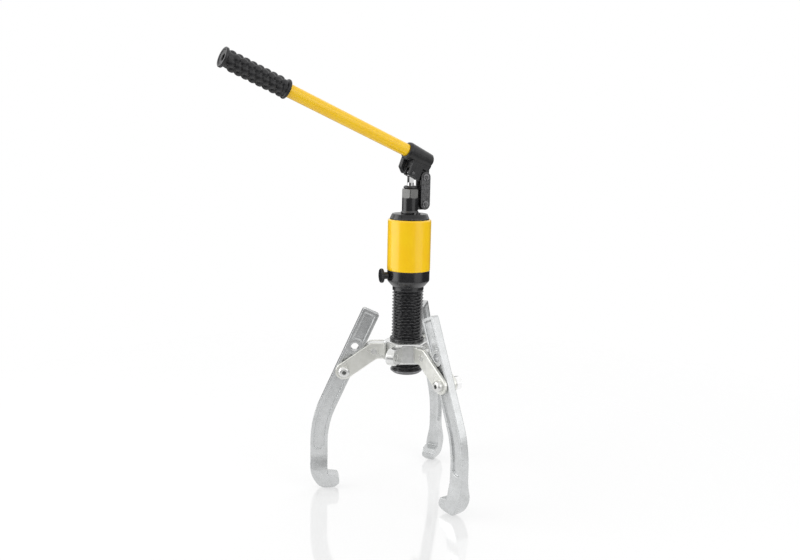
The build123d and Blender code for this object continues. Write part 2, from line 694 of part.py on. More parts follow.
def make_coil(wire_r, coil_r, bottom, top, coils, centre=(0, 0)):
    """A compression spring of round wire."""
    height = top - bottom - 2 * wire_r
    with BuildPart() as spring:
        with BuildLine() as path:
            Helix(pitch=height / coils, height=height, radius=coil_r,
                  center=(centre[0], centre[1], bottom + wire_r))
        with BuildSketch(Plane(origin=path.line @ 0, z_dir=path.line % 0)):
            Circle(wire_r)
        sweep(path=path.line, is_frenet=True)
    return spring


def make_sleeve():
    """Painted reservoir sleeve with a rounded top edge and an inward lip."""
    with BuildPart() as sleeve:
        with BuildSketch(Plane.XZ):
            with BuildLine():
                Polyline((SLEEVE_BORE_R, SLEEVE_BOTTOM_Z), (SLEEVE_R, SLEEVE_BOTTOM_Z), (SLEEVE_R, SLEEVE_TOP_Z),
                         (SLEEVE_LIP_R, SLEEVE_TOP_Z), (SLEEVE_LIP_R, SLEEVE_TOP_Z - SLEEVE_LIP_T),
                         (SLEEVE_BORE_R, SLEEVE_TOP_Z - SLEEVE_LIP_T), close=True)
            make_face()
        revolve(axis=Axis.Z)
        rims = sleeve.edges().filter_by(GeomType.CIRCLE).filter_by(lambda e: e.radius > SLEEVE_R - 0.1)
        fillet(rims.sort_by(Axis.Z)[-1], SLEEVE_TOP_ROUND)
        fillet(rims.sort_by(Axis.Z)[0], SLEEVE_FOOT_ROUND)
    return sleeve


def make_cap():
    """Top cap: it closes the cylinder, covers the sleeve and holds the valves."""
    spigot_groove = o_ring_groove(CAP_SPIGOT_R, CAP_SPIGOT_RING_Z)
    disc_groove = o_ring_groove(CAP_DISC_R, CAP_DISC_RING_Z)
    with BuildPart() as cap:
        with BuildSketch(Plane.XZ):
            with BuildLine():
                Polyline((0, CAP_SPIGOT_BOTTOM_Z), (CAP_SPIGOT_R - CAP_SPIGOT_BEVEL, CAP_SPIGOT_BOTTOM_Z),
                         (CAP_SPIGOT_R, CAP_SPIGOT_BOTTOM_Z + CAP_SPIGOT_BEVEL), (CAP_SPIGOT_R, CYLINDER_TOP_Z),
                         (CAP_DISC_R, CYLINDER_TOP_Z), (CAP_DISC_R, SLEEVE_TOP_Z),
                         (CAP_FLANGE_R, SLEEVE_TOP_Z), (CAP_FLANGE_R, SLEEVE_TOP_Z + CAP_FLANGE_T),
                         (CAP_TOP_R, CAP_TOP_Z), (0, CAP_TOP_Z), close=True)
            make_face()
        revolve(axis=Axis.Z)
        rims = cap.edges().filter_by(GeomType.CIRCLE).filter_by(lambda e: abs(e.radius - CAP_TOP_R) < 0.05)
        fillet(rims, CAP_TOP_ROUND)
        add(spigot_groove.part, mode=Mode.SUBTRACT)
        add(disc_groove.part, mode=Mode.SUBTRACT)
        with BuildSketch(Plane.XY.offset(PUMP_SPIGOT_BOTTOM_Z)):
            Circle(PUMP_SPIGOT_R + PRESS_GAP)
        extrude(amount=CAP_TOP_Z - PUMP_SPIGOT_BOTTOM_Z, mode=Mode.SUBTRACT)
        with BuildSketch(Plane.XY.offset(CAP_SPIGOT_BOTTOM_Z)):
            Circle(OIL_WAY_R)
        extrude(amount=PUMP_SPIGOT_BOTTOM_Z - CAP_SPIGOT_BOTTOM_Z, mode=Mode.SUBTRACT)
        with BuildSketch(Plane.XY.offset(CAP_SPIGOT_BOTTOM_Z)):
            with PolarLocations(VALVE_CIRCLE_R, 3):
                Circle(VALVE_BORE_R)
        extrude(amount=VALVE_BORE_H, mode=Mode.SUBTRACT)
        with BuildSketch(Plane.XY.offset(CAP_SPIGOT_BOTTOM_Z + VALVE_BORE_H)):
            with PolarLocations(VALVE_CIRCLE_R, 3):
                Circle(OIL_WAY_R)
        extrude(amount=VALVE_OIL_WAY_TOP_Z - CAP_SPIGOT_BOTTOM_Z - VALVE_BORE_H, mode=Mode.SUBTRACT)
        with BuildSketch(Plane.XY.offset(CYLINDER_TOP_Z)):
            with Locations((FILLER_X * cos(radians(FILLER_AZIMUTH)), FILLER_X * sin(radians(FILLER_AZIMUTH)))):
                Circle(FILLER_R + PRESS_GAP)
        extrude(amount=CAP_TOP_Z - CYLINDER_TOP_Z, mode=Mode.SUBTRACT)
    return cap


def make_valve_balls():
    """The suction, delivery and relief balls."""
    with BuildPart() as balls:
        with BuildSketch(Plane.XZ):
            with BuildLine():
                seat_z = CAP_SPIGOT_BOTTOM_Z + VALVE_BORE_H - VALVE_BALL_R - END_GAP
                ThreePointArc((VALVE_CIRCLE_R, seat_z - VALVE_BALL_R), (VALVE_CIRCLE_R + VALVE_BALL_R, seat_z),
                              (VALVE_CIRCLE_R, seat_z + VALVE_BALL_R))
                Line((VALVE_CIRCLE_R, seat_z + VALVE_BALL_R), (VALVE_CIRCLE_R, seat_z - VALVE_BALL_R))
            make_face()
        revolve(axis=Axis((VALVE_CIRCLE_R, 0, 0), (0, 0, 1)))
    return around(balls, 3)


def around(piece, count):
    """The same solid repeated evenly round the ram axis."""
    with BuildPart() as group:
        for index in range(count):
            add(piece.part, rotation=(0, 0, 360 / count * index))
    return group


def make_valve_plug():
    """Set screw with a hexagon socket that closes one valve bore."""
    with BuildPart() as plug:
        with BuildSketch(Plane.XY.offset(CAP_SPIGOT_BOTTOM_Z)):
            with Locations((VALVE_CIRCLE_R, 0)):
                Circle(VALVE_BORE_R - PRESS_GAP)
        extrude(amount=VALVE_PLUG_H)
        with BuildSketch(Plane.XY.offset(CAP_SPIGOT_BOTTOM_Z)):
            with Locations((VALVE_CIRCLE_R, 0)):
                RegularPolygon(SMALL_SOCKET_HALF, 6, major_radius=False)
        extrude(amount=VALVE_PLUG_H / 2, mode=Mode.SUBTRACT)
    return plug


def make_o_rings():
    """The three O-rings: under the sleeve, on the cap's spigot and on its disc."""
    with BuildPart() as rings:
        for groove_r, groove_z in ((SPIGOT_R, SLEEVE_RING_Z), (CAP_SPIGOT_R, CAP_SPIGOT_RING_Z),
                                   (CAP_DISC_R, CAP_DISC_RING_Z)):
            with BuildSketch(Plane.XZ):
                with Locations((groove_r - O_RING_SECTION / 2, groove_z)):
                    Circle(O_RING_SECTION / 2 - PIN_CLEARANCE)
            revolve(axis=Axis.Z)
    return rings


def make_filler_plug():
    """Socket-head oil filler plug in the cap."""
    with BuildPart() as plug:
        with BuildSketch(Plane.XY.offset(CAP_TOP_Z - FILLER_L)):
            with Locations((FILLER_X, 0)):
                Circle(FILLER_R)
        extrude(amount=FILLER_L)
        with BuildSketch(Plane.XY.offset(CAP_TOP_Z)):
            with Locations((FILLER_X, 0)):
                Circle(FILLER_HEAD_R)
        extrude(amount=FILLER_HEAD_H)
        rim = plug.edges().filter_by(GeomType.CIRCLE).sort_by(Axis.Z)[-1]
        fillet(rim, FILLER_HEAD_ROUND)
        with BuildSketch(Plane.XY.offset(CAP_TOP_Z + FILLER_HEAD_H)):
            with Locations((FILLER_X, 0)):
                RegularPolygon(FILLER_SOCKET_HALF, 6, major_radius=False)
        extrude(amount=-FILLER_SOCKET_DEPTH, mode=Mode.SUBTRACT)
    return plug


def make_release_valve():
    """Release valve: a fluted knob and its stem, on an axis square to the ram axis."""
    with BuildPart() as valve:
        with BuildSketch(Plane.YZ.offset(VALVE_SEAT_X + VALVE_SEAT_GAP)):
            with Locations((0, VALVE_Z)):
                Circle(VALVE_STEM_R)
        extrude(amount=KNOB_X - VALVE_SEAT_X - VALVE_SEAT_GAP)
        with BuildSketch(Plane.YZ.offset(BASE_R + KNOB_NECK_GAP)):
            with Locations((0, VALVE_Z)):
                Circle(KNOB_NECK_R)
        extrude(amount=KNOB_X - BASE_R - KNOB_NECK_GAP)
        with BuildSketch(Plane.YZ.offset(KNOB_X)):
            with Locations((0, VALVE_Z)):
                Circle(KNOB_R)
        extrude(amount=KNOB_THICK)
        knob_rims = valve.edges().filter_by(GeomType.CIRCLE).filter_by(lambda e: e.radius > KNOB_R - 0.1)
        fillet(knob_rims, KNOB_ROUND)
        with BuildSketch(Plane.YZ.offset(KNOB_X)):
            with Locations((0, VALVE_Z)):
                with PolarLocations(KNOB_R + KNOB_FLUTE_R / 3, KNOB_FLUTES):
                    Circle(KNOB_FLUTE_R)
        extrude(amount=KNOB_THICK, mode=Mode.SUBTRACT)
        seat_edge = valve.edges().filter_by(GeomType.CIRCLE).sort_by(Axis.X)[0]
        chamfer(seat_edge, VALVE_STEM_R - VALVE_POINT_R)
    return valve


def make_pump_body():
    """Pump cylinder with a base collar, a spigot into the cap and a lug for the links."""
    with BuildPart() as body:
        for radius, bottom, top in ((PUMP_SPIGOT_R, PUMP_SPIGOT_BOTTOM_Z, CAP_TOP_Z),
                                    (PUMP_COLLAR_R, CAP_TOP_Z, PUMP_COLLAR_TOP_Z),
                                    (PUMP_R, PUMP_COLLAR_TOP_Z, PUMP_TOP_Z)):
            with BuildSketch(Plane.XY.offset(bottom)):
                Circle(radius)
            extrude(amount=top - bottom)
        collar_rim = body.edges().filter_by(GeomType.CIRCLE).filter_by(
            lambda e: abs(e.radius - PUMP_COLLAR_R) < 0.05).sort_by(Axis.Z)[-1]
        chamfer(collar_rim, PUMP_COLLAR_BEVEL)
        with BuildSketch(Plane.XZ):
            with Locations((LINK_X, LINK_LOWER_Z)):
                Circle(LINK_WIDTH / 2)
            with Locations((LINK_X / 2 - 2, LINK_LOWER_Z)):
                Rectangle(-LINK_X - 4, LINK_WIDTH)
        extrude(amount=LUG_THICK / 2, both=True)
        with BuildSketch(Plane.XZ):
            with Locations((LINK_X, LINK_LOWER_Z)):
                Circle(SMALL_PIN_R + 2 * PRESS_GAP)
        extrude(amount=LUG_THICK, both=True, mode=Mode.SUBTRACT)
        with BuildSketch(Plane.XY.offset(PUMP_SPIGOT_BOTTOM_Z)):
            Circle(PLUNGER_R + PIN_CLEARANCE)
        extrude(amount=PUMP_TOP_Z - PUMP_SPIGOT_BOTTOM_Z, mode=Mode.SUBTRACT)
        with BuildSketch(Plane.XY.offset(PUMP_SEAL_Z)):
            Circle(GLAND_SPIGOT_R + PRESS_GAP)
        extrude(amount=PUMP_TOP_Z - PUMP_SEAL_Z, mode=Mode.SUBTRACT)
    return body


def make_gland_nut():
    """Hexagon gland nut with rounded corners and a spigot that holds the pump seal."""
    round_corners = ring(1, GLAND_FLATS / 2 * CORNER_TURNDOWN, PUMP_TOP_Z, GLAND_TOP_Z, GLAND_CORNER_BEVEL)
    with BuildPart() as nut:
        with BuildSketch(Plane.XY.offset(PUMP_TOP_Z)):
            RegularPolygon(GLAND_FLATS / 2, 6, major_radius=False, rotation=GLAND_TURN)
        extrude(amount=GLAND_TOP_Z - PUMP_TOP_Z)
        add(round_corners.part, mode=Mode.INTERSECT)
        with BuildSketch(Plane.XY.offset(GLAND_SPIGOT_Z)):
            Circle(GLAND_SPIGOT_R)
        extrude(amount=PUMP_TOP_Z - GLAND_SPIGOT_Z)
        with BuildSketch(Plane.XY.offset(GLAND_SPIGOT_Z)):
            Circle(PLUNGER_R + PIN_CLEARANCE)
        extrude(amount=GLAND_TOP_Z - GLAND_SPIGOT_Z, mode=Mode.SUBTRACT)
    return nut


def make_plunger():
    """Pump plunger with a flat tongue and an eye for its pin."""
    tongue_bottom = PLUNGER_PIN_Z - PLUNGER_TONGUE_L
    rod_top = tongue_bottom + 2
    with BuildPart() as plunger:
        with BuildSketch(Plane.XY.offset(PLUNGER_BOTTOM_Z)):
            Circle(PLUNGER_R)
        extrude(amount=rod_top - PLUNGER_BOTTOM_Z)
        chamfer(plunger.edges().filter_by(GeomType.CIRCLE).sort_by(Axis.Z)[0], PLUNGER_BEVEL)
        with BuildSketch(Plane.XZ):
            with Locations((0, PLUNGER_PIN_Z)):
                Circle(PLUNGER_EYE_R)
            with Locations((0, (tongue_bottom + PLUNGER_PIN_Z) / 2)):
                Rectangle(PLUNGER_TONGUE_WIDTH, PLUNGER_TONGUE_L)
        extrude(amount=PLUNGER_TONGUE / 2, both=True)
        with BuildSketch(Plane.XZ):
            with Locations((0, PLUNGER_PIN_Z)):
                Circle(SMALL_PIN_R + PRESS_GAP)
        extrude(amount=PLUNGER_TONGUE, both=True, mode=Mode.SUBTRACT)
    return plunger


# ---------------------------------------------------------------- lever and handle

HANDLE_DIR = (cos(radians(HANDLE_RISE)), 0, sin(radians(HANDLE_RISE)))
HANDLE_PLANE = Plane(origin=(0, 0, HANDLE_CROSS_Z), x_dir=HANDLE_DIR, z_dir=(0, -1, 0))
HANDLE_AXIS = Axis((0, 0, HANDLE_CROSS_Z), HANDLE_DIR)


def along_handle(x, z):
    """A point of the lever's upright plane, as distance along the handle axis and across it."""
    rise = radians(HANDLE_RISE)
    return (x * cos(rise) + (z - HANDLE_CROSS_Z) * sin(rise), (z - HANDLE_CROSS_Z) * cos(rise) - x * sin(rise))


def turned_on_handle(outline):
    """A solid turned about the handle axis from a closed outline of (along, out) points."""
    with BuildPart() as piece:
        with BuildSketch(HANDLE_PLANE):
            with BuildLine():
                Polyline(*outline, close=True)
            make_face()
        revolve(axis=HANDLE_AXIS)
    return piece


def make_lever_socket():
    """Cast lever: a tapered socket tube, two cheeks for the plunger and a tongue for the links."""
    link_eye = along_handle(LINK_X, LINK_UPPER_Z)
    plunger_eye = along_handle(0, PLUNGER_PIN_Z)
    slot_front = SOCKET_MOUTH_S + SLOT_TOP_ROOM
    slot_rear = plunger_eye[0] - SLOT_END_ROOM
    slot_top = plunger_eye[1] + SLOT_TOP_ROOM
    link_top = link_eye[1] + LINK_WIDTH / 2 + CHEEK_LINK_GAP
    socket = turned_on_handle([(SOCKET_REAR_S, 0), (SOCKET_REAR_S, SOCKET_REAR_R - 2.3),
                               (SOCKET_REAR_S + 2.5, SOCKET_REAR_R), (SOCKET_MOUTH_S - 4, SOCKET_FRONT_R),
                               (SOCKET_MOUTH_S - 0.8, SOCKET_FRONT_R - 1), (SOCKET_MOUTH_S, SOCKET_MOUTH_R),
                               (SOCKET_MOUTH_S, 0)])
    bore = turned_on_handle([(SOCKET_BORE_END_S, 0), (SOCKET_BORE_END_S, TUBE_R + PIN_CLEARANCE),
                             (SOCKET_MOUTH_S + 1, TUBE_R + PIN_CLEARANCE), (SOCKET_MOUTH_S + 1, 0)])
    with BuildPart() as lever:
        add(socket.part)
        with BuildSketch(HANDLE_PLANE):
            with BuildLine():
                Polyline((CHEEK_FRONT_S, CHEEK_TOP), (CHEEK_FRONT_S, CHEEK_BOTTOM + 2),
                         (CHEEK_FRONT_S - 2, CHEEK_BOTTOM), (CHEEK_REAR_S, CHEEK_BOTTOM - 1),
                         (CHEEK_REAR_S - 2, link_eye[1]), (SOCKET_REAR_S + 1, CHEEK_TOP - 5),
                         (SOCKET_REAR_S, CHEEK_TOP), close=True)
            make_face()
        extrude(amount=CHEEK_HALF, both=True)
        with BuildSketch(HANDLE_PLANE):
            with Locations(link_eye):
                Circle(LEVER_EYE_R)
            with BuildLine():
                Polyline((CHEEK_REAR_S + 2, -10), (CHEEK_REAR_S + 2, link_eye[1] - LEVER_EYE_R + 1),
                         (link_eye[0], link_eye[1] - LEVER_EYE_R), (link_eye[0] - LEVER_EYE_R, link_eye[1]),
                         (SOCKET_REAR_S, -8), close=True)
            make_face()
        extrude(amount=LUG_THICK / 2, both=True)
        for side in (1, -1):
            with BuildSketch(HANDLE_PLANE.offset(side * (LUG_THICK / 2 + LINK_PLATE + 1.1))):
                with BuildLine():
                    Polyline((CHEEK_REAR_S - 0.5, LEVER_TRIM), (CHEEK_REAR_S - 0.5, link_top),
                             (SOCKET_REAR_S - 12, link_top), (SOCKET_REAR_S - 12, LEVER_TRIM), close=True)
                make_face()
            extrude(amount=LINK_PLATE + 1, both=True, mode=Mode.SUBTRACT)
        with BuildSketch(HANDLE_PLANE):
            with BuildLine():
                Polyline((slot_front, slot_top), (slot_rear, slot_top), (slot_rear, LEVER_TRIM),
                         (slot_front, LEVER_TRIM), close=True)
            make_face()
        extrude(amount=PLUNGER_TONGUE / 2 + SLOT_SIDE_GAP, both=True, mode=Mode.SUBTRACT)
        with BuildSketch(HANDLE_PLANE.offset(CHEEK_HALF)):
            with BuildLine():
                Polyline((SIDE_BOSS_FRONT_S, SIDE_BOSS_TOP), (SIDE_BOSS_FRONT_S, CHEEK_BOTTOM + 9),
                         (CHEEK_FRONT_S - 1, CHEEK_BOTTOM + 2), (CHEEK_FRONT_S - 14, CHEEK_BOTTOM + 4),
                         (CHEEK_FRONT_S - 14, SIDE_BOSS_TOP), close=True)
            make_face()
        extrude(amount=SIDE_BOSS)
        with BuildSketch(HANDLE_PLANE):
            with Locations(link_eye):
                Circle(SMALL_PIN_R + 2 * PRESS_GAP)
        extrude(amount=LUG_THICK, both=True, mode=Mode.SUBTRACT)
        with BuildSketch(HANDLE_PLANE):
            with Locations(plunger_eye):
                Circle(SMALL_PIN_R + OPEN_PIVOT_CLEARANCE)
        extrude(amount=CHEEK_HALF + SIDE_BOSS + 1, both=True, mode=Mode.SUBTRACT)
        add(bore.part, mode=Mode.SUBTRACT)
        with BuildSketch(HANDLE_PLANE.offset(TUBE_R)):
            with Locations((CLAMP_SCREW_S, 0)):
                Circle(CLAMP_SCREW_R + PRESS_GAP)
        extrude(amount=SOCKET_TRIM, mode=Mode.SUBTRACT)
    return lever


def make_clamp_screw():
    """Set screw in the side of the socket that holds the handle."""
    with BuildPart() as screw:
        with BuildSketch(HANDLE_PLANE.offset(TUBE_R + PRESS_GAP)):
            with Locations((CLAMP_SCREW_S, 0)):
                Circle(CLAMP_SCREW_R)
        extrude(amount=CLAMP_SCREW_L)
        outer_rim = screw.edges().filter_by(GeomType.CIRCLE).sort_by(Axis.Y)[0]
        chamfer(outer_rim, CLAMP_SCREW_BEVEL)
        with BuildSketch(HANDLE_PLANE.offset(TUBE_R + CLAMP_SCREW_L)):
            with Locations((CLAMP_SCREW_S, 0)):
                RegularPolygon(SMALL_SOCKET_HALF, 6, major_radius=False)
        extrude(amount=-CLAMP_SOCKET_DEPTH, mode=Mode.SUBTRACT)
    return screw


def make_handle_tube():
    """Painted steel tube of the handle, bevelled where it enters the socket."""
    return turned_on_handle([(TUBE_START_S, TUBE_BORE_R), (TUBE_START_S, TUBE_R - TUBE_BEVEL),
                             (TUBE_START_S + TUBE_BEVEL, TUBE_R), (TUBE_END_S, TUBE_R), (TUBE_END_S, TUBE_BORE_R)])


def make_grip():
    """Rubber grip: a closed sleeve with a flange at each end and a dished end face."""
    return turned_on_handle([(GRIP_START_S, TUBE_R + PRESS_GAP), (GRIP_START_S, GRIP_FLANGE_R - 0.6),
                             (GRIP_START_S + 0.6, GRIP_FLANGE_R), (GRIP_START_S + 3.4, GRIP_FLANGE_R),
                             (GRIP_START_S + 5, GRIP_R), (GRIP_END_S - 6, GRIP_R),
                             (GRIP_END_S - 4.2, GRIP_FLANGE_R), (GRIP_END_S - 1, GRIP_FLANGE_R),
                             (GRIP_END_S, GRIP_FLANGE_R - 1), (GRIP_END_S, GRIP_DISH_R),
                             (GRIP_END_S - GRIP_DISH_DEPTH, GRIP_DISH_R - 2), (GRIP_END_S - GRIP_DISH_DEPTH, 0),
                             (TUBE_END_S + 2 * END_GAP, 0), (TUBE_END_S + 2 * END_GAP, TUBE_R + PRESS_GAP)])


def make_link_plates():
    """Pair of long rounded plates between the pump lug and the lever."""
    middle_z = (LINK_UPPER_Z + LINK_LOWER_Z) / 2
    with BuildPart() as plates:
        for side in (1, -1):
            with BuildSketch(Plane.XZ.offset(side * (LINK_GAP + LINK_PLATE) / 2)):
                with Locations((LINK_X, middle_z)):
                    SlotCenterToCenter(LINK_UPPER_Z - LINK_LOWER_Z, LINK_WIDTH, rotation=90)
                with Locations((LINK_X, LINK_UPPER_Z), (LINK_X, LINK_LOWER_Z)):
                    Circle(SMALL_PIN_R + PRESS_GAP / 2, mode=Mode.SUBTRACT)
            extrude(amount=LINK_PLATE / 2, both=True)
        long_edges = plates.faces().filter_by(Axis.Y).edges().filter_by(
            lambda e: e.geom_type == GeomType.LINE or e.radius > SMALL_PIN_R + 1)
        fillet(long_edges, LINK_EDGE_ROUND)
    return plates


def make_pin(x, z, half_length, head):
    """Plain cross pin, or one with a low domed head at its -Y end and a clip groove at its +Y end."""
    with BuildPart() as pin:
        with BuildSketch(Plane.XZ.offset(-half_length)):
            with Locations((x, z)):
                Circle(SMALL_PIN_R)
        extrude(amount=2 * half_length)
        if head:
            with BuildSketch(Plane.XZ.offset(half_length - PIN_HEAD_H)):
                with Locations((x, z)):
                    Circle(PIN_HEAD_R)
            extrude(amount=PIN_HEAD_H)
            fillet(pin.edges().filter_by(GeomType.CIRCLE).sort_by(Axis.Y)[0], PIN_HEAD_ROUND)
            with BuildSketch(Plane.XZ.offset(-half_length + CLIP_INSET)):
                with Locations((x, z)):
                    Circle(SMALL_PIN_R + 1)
                    Circle(SMALL_PIN_R - CLIP_GROOVE_DEPTH, mode=Mode.SUBTRACT)
            extrude(amount=CLIP_T + END_GAP, mode=Mode.SUBTRACT)
    return pin


def make_link_clips():
    """The two open clips on the link pins."""
    with BuildPart() as clips:
        with BuildSketch(Plane.XZ.offset(-LINK_PIN_HALF + CLIP_INSET + END_GAP / 2)):
            with Locations((LINK_X, LINK_UPPER_Z), (LINK_X, LINK_LOWER_Z)):
                Circle(CLIP_R)
                Circle(SMALL_PIN_R - CLIP_GROOVE_DEPTH + PIN_CLEARANCE, mode=Mode.SUBTRACT)
            for z in (LINK_UPPER_Z, LINK_LOWER_Z):
                with Locations((LINK_X, z - CLIP_R + 1)):
                    Rectangle(CLIP_MOUTH, 2 * CLIP_MOUTH, mode=Mode.SUBTRACT)
        extrude(amount=CLIP_T)
    return clips


# ---------------------------------------------------------------- write every piece

save(make_hub(), "crosshead")

jaw_blank = make_jaw()
plates_blank = make_arm_plates()
hub_pin_blank = make_hub_pin()
for arm_name, azimuth in ARM_AZIMUTHS.items():
    head_side = 1 if arm_name == "left" else -1
    save(turned(jaw_blank, azimuth), f"jaw_{arm_name}")
    save(turned(plates_blank, azimuth), f"arm_plates_{arm_name}")
    save(turned(hub_pin_blank, azimuth), f"hub_pin_{arm_name}")
    save(turned(make_jaw_bolt(head_side), azimuth), f"jaw_bolt_{arm_name}")
    save(turned(make_jaw_nut(head_side), azimuth), f"jaw_nut_{arm_name}")
    save(turned(make_jaw_washer(head_side), azimuth), f"jaw_washer_{arm_name}")

save(make_barrel(), "threaded_barrel")
save(make_lock_ring(), "lock_ring")
save(make_stop_ring(), "stop_ring")
save(make_ram(), "ram")
save(make_ram_tip(), "ram_tip")
save(make_sleeve(), "reservoir_sleeve")
save(make_cap(), "top_cap")

save(ring(PISTON_SEAL_R + SEAL_GAP, PISTON_R, SEAL_MIDDLE_Z - PISTON_SEAL_H / 2 + END_GAP,
          SEAL_MIDDLE_Z + PISTON_SEAL_H / 2 - END_GAP), "piston_seal")
save(ring(ROD_R + SEAL_GAP, WIPER_SEAT_R - SEAL_GAP, WIPER_SEAT_LOW_Z + END_GAP, WIPER_SEAT_TOP_Z - END_GAP),
     "rod_wiper")
save(make_coil(SPRING_WIRE_R, SPRING_COIL_R, ROD_BORE_TOP_Z + END_GAP, PISTON_BOTTOM_Z - END_GAP, SPRING_COILS),
     "return_spring")
bladder_r = SLEEVE_BORE_R - BLADDER_WALL_GAP
save(ring(bladder_r - BLADDER_T, bladder_r, SPIGOT_TOP_Z + 0.5, CYLINDER_TOP_Z - 1), "reservoir_bladder")
save(make_o_rings(), "o_rings")
save(make_valve_balls(), "valve_balls")
valve_spring = make_coil(VALVE_SPRING_WIRE_R, VALVE_SPRING_R, CAP_SPIGOT_BOTTOM_Z + VALVE_PLUG_H + END_GAP,
                         CAP_SPIGOT_BOTTOM_Z + VALVE_BORE_H - 2 * VALVE_BALL_R - 2 * END_GAP,
                         VALVE_SPRING_COILS, (VALVE_CIRCLE_R, 0))
save(around(valve_spring, 3), "valve_springs")
save(around(make_valve_plug(), 3), "valve_plugs")
save(turned(make_filler_plug(), FILLER_AZIMUTH), "filler_plug")
save(turned(make_release_valve(), VALVE_AZIMUTH), "release_valve")
save(turned(make_pump_body(), LEVER_AZIMUTH), "pump_body")
save(ring(PLUNGER_R + SEAL_GAP, GLAND_SPIGOT_R, PUMP_SEAL_Z + END_GAP, GLAND_SPIGOT_Z - END_GAP), "pump_seal")
save(turned(make_gland_nut(), LEVER_AZIMUTH), "gland_nut")
save(ring(PLUNGER_R + SEAL_GAP, GLAND_WIPER_R, GLAND_TOP_Z, WIPER_TOP_Z, GLAND_WIPER_BEVEL), "gland_wiper")
save(turned(make_plunger(), LEVER_AZIMUTH), "pump_plunger")
save(turned(make_pin(0, PLUNGER_PIN_Z, PLUNGER_PIN_HALF, False), LEVER_AZIMUTH), "plunger_pin")
save(turned(make_link_plates(), LEVER_AZIMUTH), "link_plates")
upper_pin = make_pin(LINK_X, LINK_UPPER_Z, LINK_PIN_HALF, True)
lower_pin = make_pin(LINK_X, LINK_LOWER_Z, LINK_PIN_HALF, True)
with BuildPart() as link_pins:
    add(upper_pin.part)
    add(lower_pin.part)
save(turned(link_pins, LEVER_AZIMUTH), "link_pins")
save(turned(make_link_clips(), LEVER_AZIMUTH), "link_clips")
save(turned(make_lever_socket(), LEVER_AZIMUTH), "lever_socket")
save(turned(make_clamp_screw(), LEVER_AZIMUTH), "clamp_screw")
save(turned(make_handle_tube(), LEVER_AZIMUTH), "handle_tube")
save(turned(make_grip(), LEVER_AZIMUTH), "handle_grip")
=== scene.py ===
"""Looks of the hydraulic gear puller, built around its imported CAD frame. Metres, +Z up."""
import json
import math

import bmesh
import bpy
from mathutils import Matrix, Vector, noise


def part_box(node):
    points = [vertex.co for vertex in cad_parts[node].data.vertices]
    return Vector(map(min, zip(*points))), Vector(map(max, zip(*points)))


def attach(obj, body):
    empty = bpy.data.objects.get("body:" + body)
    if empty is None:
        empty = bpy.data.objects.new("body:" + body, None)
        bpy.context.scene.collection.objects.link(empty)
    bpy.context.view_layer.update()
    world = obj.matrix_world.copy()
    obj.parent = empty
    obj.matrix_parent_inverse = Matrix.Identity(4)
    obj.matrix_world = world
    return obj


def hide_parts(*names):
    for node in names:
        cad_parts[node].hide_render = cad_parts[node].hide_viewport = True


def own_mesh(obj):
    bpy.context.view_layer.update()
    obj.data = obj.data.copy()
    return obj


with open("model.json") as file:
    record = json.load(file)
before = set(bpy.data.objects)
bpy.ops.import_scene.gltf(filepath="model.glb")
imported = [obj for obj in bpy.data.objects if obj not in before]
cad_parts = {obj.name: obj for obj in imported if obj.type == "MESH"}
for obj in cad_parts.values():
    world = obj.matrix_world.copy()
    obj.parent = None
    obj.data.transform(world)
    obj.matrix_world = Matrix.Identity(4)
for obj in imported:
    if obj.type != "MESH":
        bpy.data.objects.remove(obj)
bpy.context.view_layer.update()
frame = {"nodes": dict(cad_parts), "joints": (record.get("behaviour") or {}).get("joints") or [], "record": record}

MM = 0.001
ARMS = ("back", "left", "right")
NODES = frame["nodes"]
JOINTS = {joint["name"]: joint for joint in frame["joints"]}
SLOT_OF = {part["node"]: part["material_slot"] for part in frame["record"]["subparts"]}


# ---------------------------------------------------------------- materials

COLOUR_A = 6
COLOUR_B = 7
COLOUR_OUT = 2
BARELY_POINTED = 0.505
POINTED = 0.56


